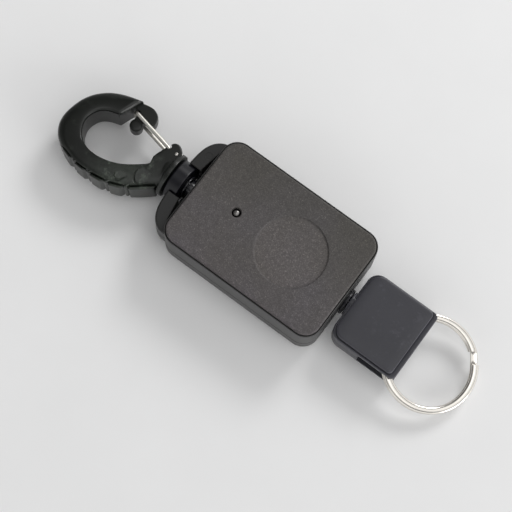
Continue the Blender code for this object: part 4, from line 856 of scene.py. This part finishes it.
def tread_band():
    """Band of scales along the back: it stands clear of the arm at its top edge and dips between scales."""
    lines = arm_lines()
    edges = [TREAD_START + 0.01, *TREAD_GAPS, TREAD_END + 0.02]
    rings, stations = [], 150
    for step in range(stations + 1):
        share = TREAD_START + 0.012 + (TREAD_END - TREAD_START - 0.012) * step / stations
        low = max(edge for edge in edges if edge <= share)
        high = min(edge for edge in edges if edge > share)
        rib = RIB_SHARE if low in TREAD_GAPS else 0.0
        end = min(max(share - low - rib, 0.0) / 0.014, (high - share) / 0.012, 1.0)
        swell = math.sin(end * math.pi / 2) ** 0.8
        start = eased(TREAD_START, TREAD_START + 0.06, share)
        proud = 0.02 + 0.12 * (1 - start) + 0.85 * (1 - swell) * start
        top = 3.5 + 0.7 * start - 0.8 * (1 - swell) + 0.25 * (share - low) / (high - low)
        thick = proud + 0.30 + 0.5 * start
        half = [(2.8, top - 1.9), (thick, top - 1.3), (thick, top - 0.28), (proud + 0.5, top),
                (proud + 0.18, top - 0.1), (proud + 0.03, top - 0.34), (proud, top - 0.7)]
        rings.append(along_back(lines, half, lambda height: share - TREAD_SLANT * (top - height) / 8 * start))
    return lofted("tread", rings)


def tread_rib(gap):
    """Rib between two scales: it bridges the crease and stands back behind the scales."""
    lines = arm_lines()
    rings = []
    for step in range(11):
        across = step / 5 - 1
        swell = math.sqrt(1 - 0.96 * across ** 2)
        edge, top = 0.95 - 0.5 * swell, 3.95 + 0.62 * swell
        half = [(3.4, top - 0.02), (edge + 0.75, top), (edge + 0.3, top - 0.12), (edge + 0.06, top - 0.4),
                (edge, top - 0.9)]
        share = gap + RIB_SHARE * (0.56 + 0.4 * across)
        rings.append(along_back(lines, half, lambda height: share - TREAD_SLANT * (4.2 - height) / 8))
    return lofted("tread_rib", rings)


def leaf(curved, straight):
    """Cutter for a leaf mark: its plane floor starts level with the face and falls gently."""
    fall, slope = Vector((0.68, -0.73)), 0.14
    outline = [Vector(point) for point in smooth_through(curved, 4) + straight]
    drops = [slope * point.dot(fall) for point in outline]
    face = AXIS + ARM_HALF + min(drops)
    return lofted("leaf", [[(point.x, point.y, face - drop) for point, drop in zip(outline, drops)],
                           [(point.x, point.y, AXIS + ARM_HALF + 1) for point in outline]])


def leaf_groove(curved):
    """Cutter for the groove along a leaf mark's curved edge, finest at its ends."""
    curve = smooth_through(curved, 4)
    radii = [0.1 + 0.36 * math.sin(math.pi * index / (len(curve) - 1)) ** 0.6 for index in range(len(curve))]
    return pipe("leaf_groove", [(x, y, AXIS + 4.98 - 0.75 * radius) for (x, y), radius in zip(curve, radii)],
                radii, 12)


def make_hook():
    hook = make_arm()
    outline = NOSE[:5] + smooth_through(NOSE[5:], 3)
    nose = stacked("nose", [
        (AXIS + side * height, inset(outline, inward) if inward else outline)
        for side, rims in ((-1, NOSE_RIMS), (1, NOSE_RIMS[::-1])) for height, inward in rims])
    nub = soft_rod("nub", 1.9, 2.3, 0.9, 6, 48, NUB)
    inner = HOOK_FACE - 1.4
    flange = turned_soft("flange", [
        (0, inner - 2.6, 0), (4.85, inner - 2.6, 0), (5.0, inner - 1.8, 0), (5.25, inner - 1.0, 0),
        (5.75, inner - 0.35, 0), (6.75, inner, 0.2), (6.75, HOOK_FACE, 0.35), (0, HOOK_FACE, 0)], 4, 96)
    join(hook, nose, nub, flange, tread_band(), *[tread_rib(gap) for gap in TREAD_GAPS])
    stud_space = turned("stud_space", [
        (0, STUD_FACE - 1.4), (3.2, STUD_FACE - 1.4), (3.2, STUD_FACE + 0.3), (2.3, STUD_FACE + 0.3),
        (2.3, HOOK_FACE + 3), (0, HOOK_FACE + 3)], 48)
    cut(hook, stud_space, *gate_spaces())
    for curved, straight in LEAF_MARKS:
        cut(hook, leaf(curved, straight), leaf_groove(curved))
    dress(hook, HOOK, "carabiner", ["hook_body"], 28)


def around(centre, radius, angle):
    return (centre[0] + radius * math.cos(angle), centre[1] + radius * math.sin(angle))


def gate_spaces():
    """Cutters in the lug: a slot for the gate's swing, a notch over each leg, room for the eyes, the bore."""
    before, after = GATE_HEADING + math.radians(-4), GATE_HEADING + math.radians(42)
    reach, margin, low, high = 8.5, 0.95, AXIS - 3.85, AXIS + 3.85
    near_before = around(GATE_PIN, margin, before - math.pi / 2)
    near_after = around(GATE_PIN, margin, after + math.pi / 2)
    wedge = [near_before, around(near_before, reach, before), around(near_after, reach, after), near_after]
    half, quarter = 0.8, math.pi / 2
    near, far = (around(GATE_PIN, distance, GATE_HEADING) for distance in (3.1, reach))
    notch = [around(near, half, GATE_HEADING - quarter - math.pi * step / 12) for step in range(13)]
    notch += [around(far, half, GATE_HEADING + side * quarter) for side in (1, -1)]
    return [
        stacked("notch", [(AXIS + 2.2, notch), (AXIS + 6, notch)]),
        stacked("notch", [(AXIS - 6, notch), (AXIS - 2.2, notch)]),
        stacked("wedge", [(low, wedge), (high, wedge)]),
        rod("eye_space", 2.0, low, high, 40, GATE_PIN),
        rod("pin_bore", 0.55, 0, 15, 32, GATE_PIN),
    ]


def make_gate():
    bend, eye, straight = 1.2, 1.2, 3.6
    length = math.dist(GATE_PIN, CROSSBAR) - bend - straight

    def leg(height):
        """Eye round the pin, then the straight leg as far as the bend."""
        start, end = math.radians(50), math.radians(290)
        points = [around(GATE_PIN, eye, GATE_HEADING + end + (start - end) * step / 24)
                  for step in range(25)]
        points.append(around(GATE_PIN, 2.4, GATE_HEADING + start / 6))
        points += [around(GATE_PIN, straight + length * step / 10, GATE_HEADING) for step in range(11)]
        return [(x, y, height) for x, y in points]

    corner = []
    for rise, fall in arc(8)[1:]:
        x, y = around(CROSSBAR, bend * (1 - rise), GATE_HEADING + math.pi)
        corner.append((x, y, AXIS - LEG_HEIGHT + bend * fall))
    top_corner = [(x, y, 2 * AXIS - z) for x, y, z in reversed(corner)]
    path = leg(AXIS - LEG_HEIGHT) + corner + top_corner + leg(AXIS + LEG_HEIGHT)[::-1]
    gate = pipe("gate_wire_fine", path, WIRE_RADIUS, 16)
    dress(gate, WIRE, "gate", ["gate_wire"], 60)
    pin = soft_rod("gate_pin_fine", 0.5, 5.1, 0.2, 4, 32, GATE_PIN)
    dress(pin, STEEL, "carabiner", ["gate_pin"])


# Cord and its eyelet

def make_cord():
    rim = CASE_END + GAP
    eyelet = turned_soft("eyelet_fine", [
        (1.8, 23.3, 0.1), (3.8, 23.3, 0.1), (3.8, 23.9, 0.1), (3.0, 23.9, 0), (3.0, rim, 0),
        (3.95, rim, 0.12), (3.95, CASE_END + 1.05, 0.2), (1.8, CASE_END + 1.05, 0.2),
        (1.0, rim, 0.2), (1.0, 24.1, 0.2)], 4, 64)
    # The eyelet takes the barrel's near-black plastic: partly its own colour, partly painted shade for the
    # narrow gap between case and tag.
    dress(eyelet, BARREL, "case", ["cord_eyelet"])
    start, end, steps = 25.4, 33.75, 60
    path = [(start + (end - start) * step / steps, 0, AXIS) for step in range(steps + 1)]
    cord = pipe("cord_fine", path, 0.6, 16)
    dress(cord, CORD, None, ["cord_tip"], 60)
    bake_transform(cord)


# Key tag

def tag_outline(inward=0.0, ring_end=None, cord_end=None, far_side=None):
    """Tag in plan, moved inwards; the last three give other margins for three of its sides."""
    ring_end = inward if ring_end is None else ring_end
    cord_end = inward if cord_end is None else cord_end
    far_side = inward if far_side is None else far_side
    low, high = TAG_LOW_END + cord_end, TAG_RING_END - ring_end
    near, far = -TAG_WIDTH / 2 + inward, TAG_WIDTH / 2 - far_side
    cord_corner = 3.6 - inward / 2
    ring_corner = max(1.5 - inward / 2, 0.5)
    outline = rounded_rectangle(high - low, far - near, (ring_corner, cord_corner, cord_corner, ring_corner),
                                (low + high) / 2, 8)
    return [(x, y + (near + far) / 2) for x, y in outline]


def tag_levels():
    """Levels of one half of the tag above the seam: rounded rim, groove and raised panel."""
    levels = [(0.04, tag_outline(0.12)), (0.16, tag_outline())]
    levels += [(3.4 + 0.3 * rise, tag_outline(0.3 * fall)) for rise, fall in arc(3)]

    def panel(inward):
        return tag_outline(0.72 + inward, 1.45 + inward, 0.62 + inward, 0.42 + inward)

    levels += [(3.66, tag_outline(0.44, 1.0, 0.4, 0.32)), (3.46, panel(-0.22)), (3.44, panel(-0.06)),
               (3.9, panel(0.0))]
    levels += [(4.02 + 0.32 * rise, panel(0.32 * fall)) for rise, fall in arc(4, math.radians(72))]
    crown = ((0.55, 4.37), (1.0, 4.42), (1.7, 4.465), (2.4, 4.49), (3.2, 4.5))
    return levels + [(height, panel(inward)) for inward, height in crown]


def make_tag():
    for name, up in (("tag_top_shell", 1), ("tag_bottom_shell", -1)):
        levels = [(AXIS + up * height, outline) for height, outline in tag_levels()]
        shell = stacked(name + "_fine", levels if up > 0 else levels[::-1])
        near, far = CASE_END + 1.35, 28.7
        collar = turned_soft("collar", [(0, near, 0), (3.75, near, 0.25), (3.75, far, 0), (0, far, 0)], 4, 64)
        seam, beyond = AXIS + up * 0.1, AXIS - up * 8
        cut(collar, block("half", (20, -20, min(seam, beyond)), (32, 20, max(seam, beyond))))
        join(shell, collar)
        cut(shell, block("chamber", (29.45, -3.5, AXIS - 2.9), (36.65, 3.5, AXIS + 2.9)),
            block("ring_slot", (38.15, -20, AXIS - RING_SLOT_HALF), (60, 20, AXIS + RING_SLOT_HALF)),
            rod("post_socket", 2.3, AXIS - 3.8, AXIS + 3.8, 40, (POST_X, 0)))
        wall = [(1.2, 1)] if up > 0 else [(2.1, 1), (2.1, 4.6), (1.2, 4.6)]
        for side in (-1, 1):
            cut(shell, turned("screw_hole", [(0, 1), *wall, (1.2, 9.8), (0, 9.8)], 32,
                              (TAG_SCREW_X, side * TAG_SCREW_Y)))
        cut(shell, rod("cord_hole", 0.9, CASE_END, 31, 32))
        dress(shell, SMOOTH, "tag", [name])
    post = soft_rod("ring_post_fine", 2.0, 3.5, 0.2, 3, 48, (POST_X, 0))
    dress(post, STEEL, "tag", ["ring_post"])


# Split ring

def make_ring():
    """Two coils of flat wire; at the jog it climbs from the lower coil to the upper one."""
    middle = RING_RADIUS - RING_WIDTH / 2
    climb = RING_COIL + 0.1
    half_width, half_height = RING_WIDTH / 2, RING_COIL / 2
    section = [(math.copysign(half_width * abs(cosine) ** 0.72, cosine),
                math.copysign(half_height * abs(sine) ** 0.86, sine)) for cosine, sine in circle(28)]
    jog, start, steps = math.radians(9), math.radians(45), 150
    coil = [(math.tau - 2 * jog) * step / steps for step in range(steps + 1)]
    turns = [(jog + angle, -climb / 2) for angle in coil]
    for share in [step / 10 for step in range(1, 10)]:
        turns.append((math.tau + jog * (2 * share - 1), -climb / 2 + climb * share * share * (3 - 2 * share)))
    turns += [(math.tau + jog + angle, climb / 2) for angle in coil]
    rings = []
    for angle, height in turns:
        angle += start
        rings.append([((middle + out) * math.cos(angle), (middle + out) * math.sin(angle), height + up)
                      for out, up in section])
    ring = lofted("split_ring_fine", rings)
    along = POST_X - 2.0 - GAP - half_width + middle * math.cos(RING_TILT)
    at_lip = AXIS - RING_SLOT_HALF + GAP + (RING_COIL + 0.05) / math.cos(RING_TILT)
    height = at_lip - (along - TAG_RING_END) * math.tan(RING_TILT)
    ring.data.transform(Matrix.Translation((along * MM, 0, height * MM)) @ Matrix.Rotation(RING_TILT, 4, "Y"))
    dress(ring, POLISHED, "ring", ["split_ring"], 50)


# Room, lights and camera

def make_floor():
    floor = new_object("floor", bpy.data.meshes.new("floor"))
    corners = [(x, y, 0) for x, y in rectangle(-3.0, -3.0, 3.0, 3.0)]
    floor.data.from_pydata(corners, [], [(0, 1, 2, 3)])
    floor.location = (0, 0, -0.0002)
    material, graph = new_material("floor_white")
    tone = graph.noise(graph.place(), 100 / 3, 3.0, 0.55)
    graph.shade("Base Color", graph.ramp(tone, [(0.3, 0.84), (0.7, 0.86)]))
    graph.shade("Roughness", 0.7)
    graph.shade("Specular IOR Level", 0.2)
    floor.data.materials.append(material)


def make_room():
    """World: a soft panel overhead, a darker ceiling round it and pale walls, darker in two parts."""
    world = bpy.data.worlds.new("studio")
    bpy.context.scene.world = world
    graph = Graph(world)
    vector = graph.place("Generated")

    def toward(place, stops):
        return graph.ramp(graph.measure("DOT_PRODUCT", vector, Vector(place).normalized()), stops)

    room = toward((0.05, 0.0, 1.0), [
        (0.0, (0.80, 0.80, 0.81)), (0.58, (1.0, 1.0, 1.0)), (0.76, (0.24, 0.24, 0.24)),
        (0.89, (0.17, 0.17, 0.17)), (0.972, (1.1, 1.1, 1.1))])
    room = graph.mix(1.0, room, toward((0.42, 0.20, 0.88), [(0.955, 0.0), (0.985, 0.62)]), "ADD")
    room = graph.times(room, toward((-0.80, 0.45, 0.25), [(0.35, 1.0), (0.75, 0.4)]),
                       toward((-0.80, -0.30, 0.50), [(0.56, 1.0), (0.64, 0.5)]))
    background = graph.nodes["Background"]
    graph.feed(background.inputs["Color"], room)
    background.inputs["Strength"].default_value = 1.27


def make_lamps():
    for name, place, size, power in (("key", (0.05, 0.70, 0.56), 0.34, 2.6),
                                     ("window", (2.40, -0.13, 0.73), 1.3, 17.0)):
        light = bpy.data.lights.new(name, "AREA")
        light.shape = "DISK"
        light.size = size
        light.energy = power
        lamp = new_object(name, light)
        lamp.location = place
        lamp.rotation_euler = (-Vector(place)).to_track_quat("-Z", "Y").to_euler()


def make_camera():
    """Camera at the photograph's angle: about 75 degrees above the floor, long lens."""
    picture, focal = 512, 1480.24                     # in pixels
    turn, tilt, roll = 0.5227, 0.2542, 0.1178
    shift = Vector((3.681, -0.894, 422.880))          # the frame's origin as the camera sees it
    rotation = (Matrix.Rotation(roll, 3, "Z") @ Matrix.Rotation(-tilt, 3, "X")
                @ Matrix.Rotation(math.pi, 3, "X") @ Matrix.Rotation(-turn, 3, "Z"))
    place = -(rotation.transposed() @ shift) * MM
    axes = Matrix((rotation[0], -rotation[1], -rotation[2])).transposed()
    data = bpy.data.cameras.new("camera")
    data.sensor_width = 36.0
    data.lens = data.sensor_width * focal / picture
    data.clip_start = 0.01
    camera = new_object("camera", data)
    camera.matrix_world = Matrix.Translation(place) @ axes.to_4x4()
    bpy.context.scene.camera = camera


for make in (make_camera, make_front, make_rear, make_fasteners, make_swivel, make_hook, make_gate, make_cord,
             make_tag, make_ring, make_floor, make_room, make_lamps):
    make()

bpy.context.scene.view_settings.view_transform = "Standard"
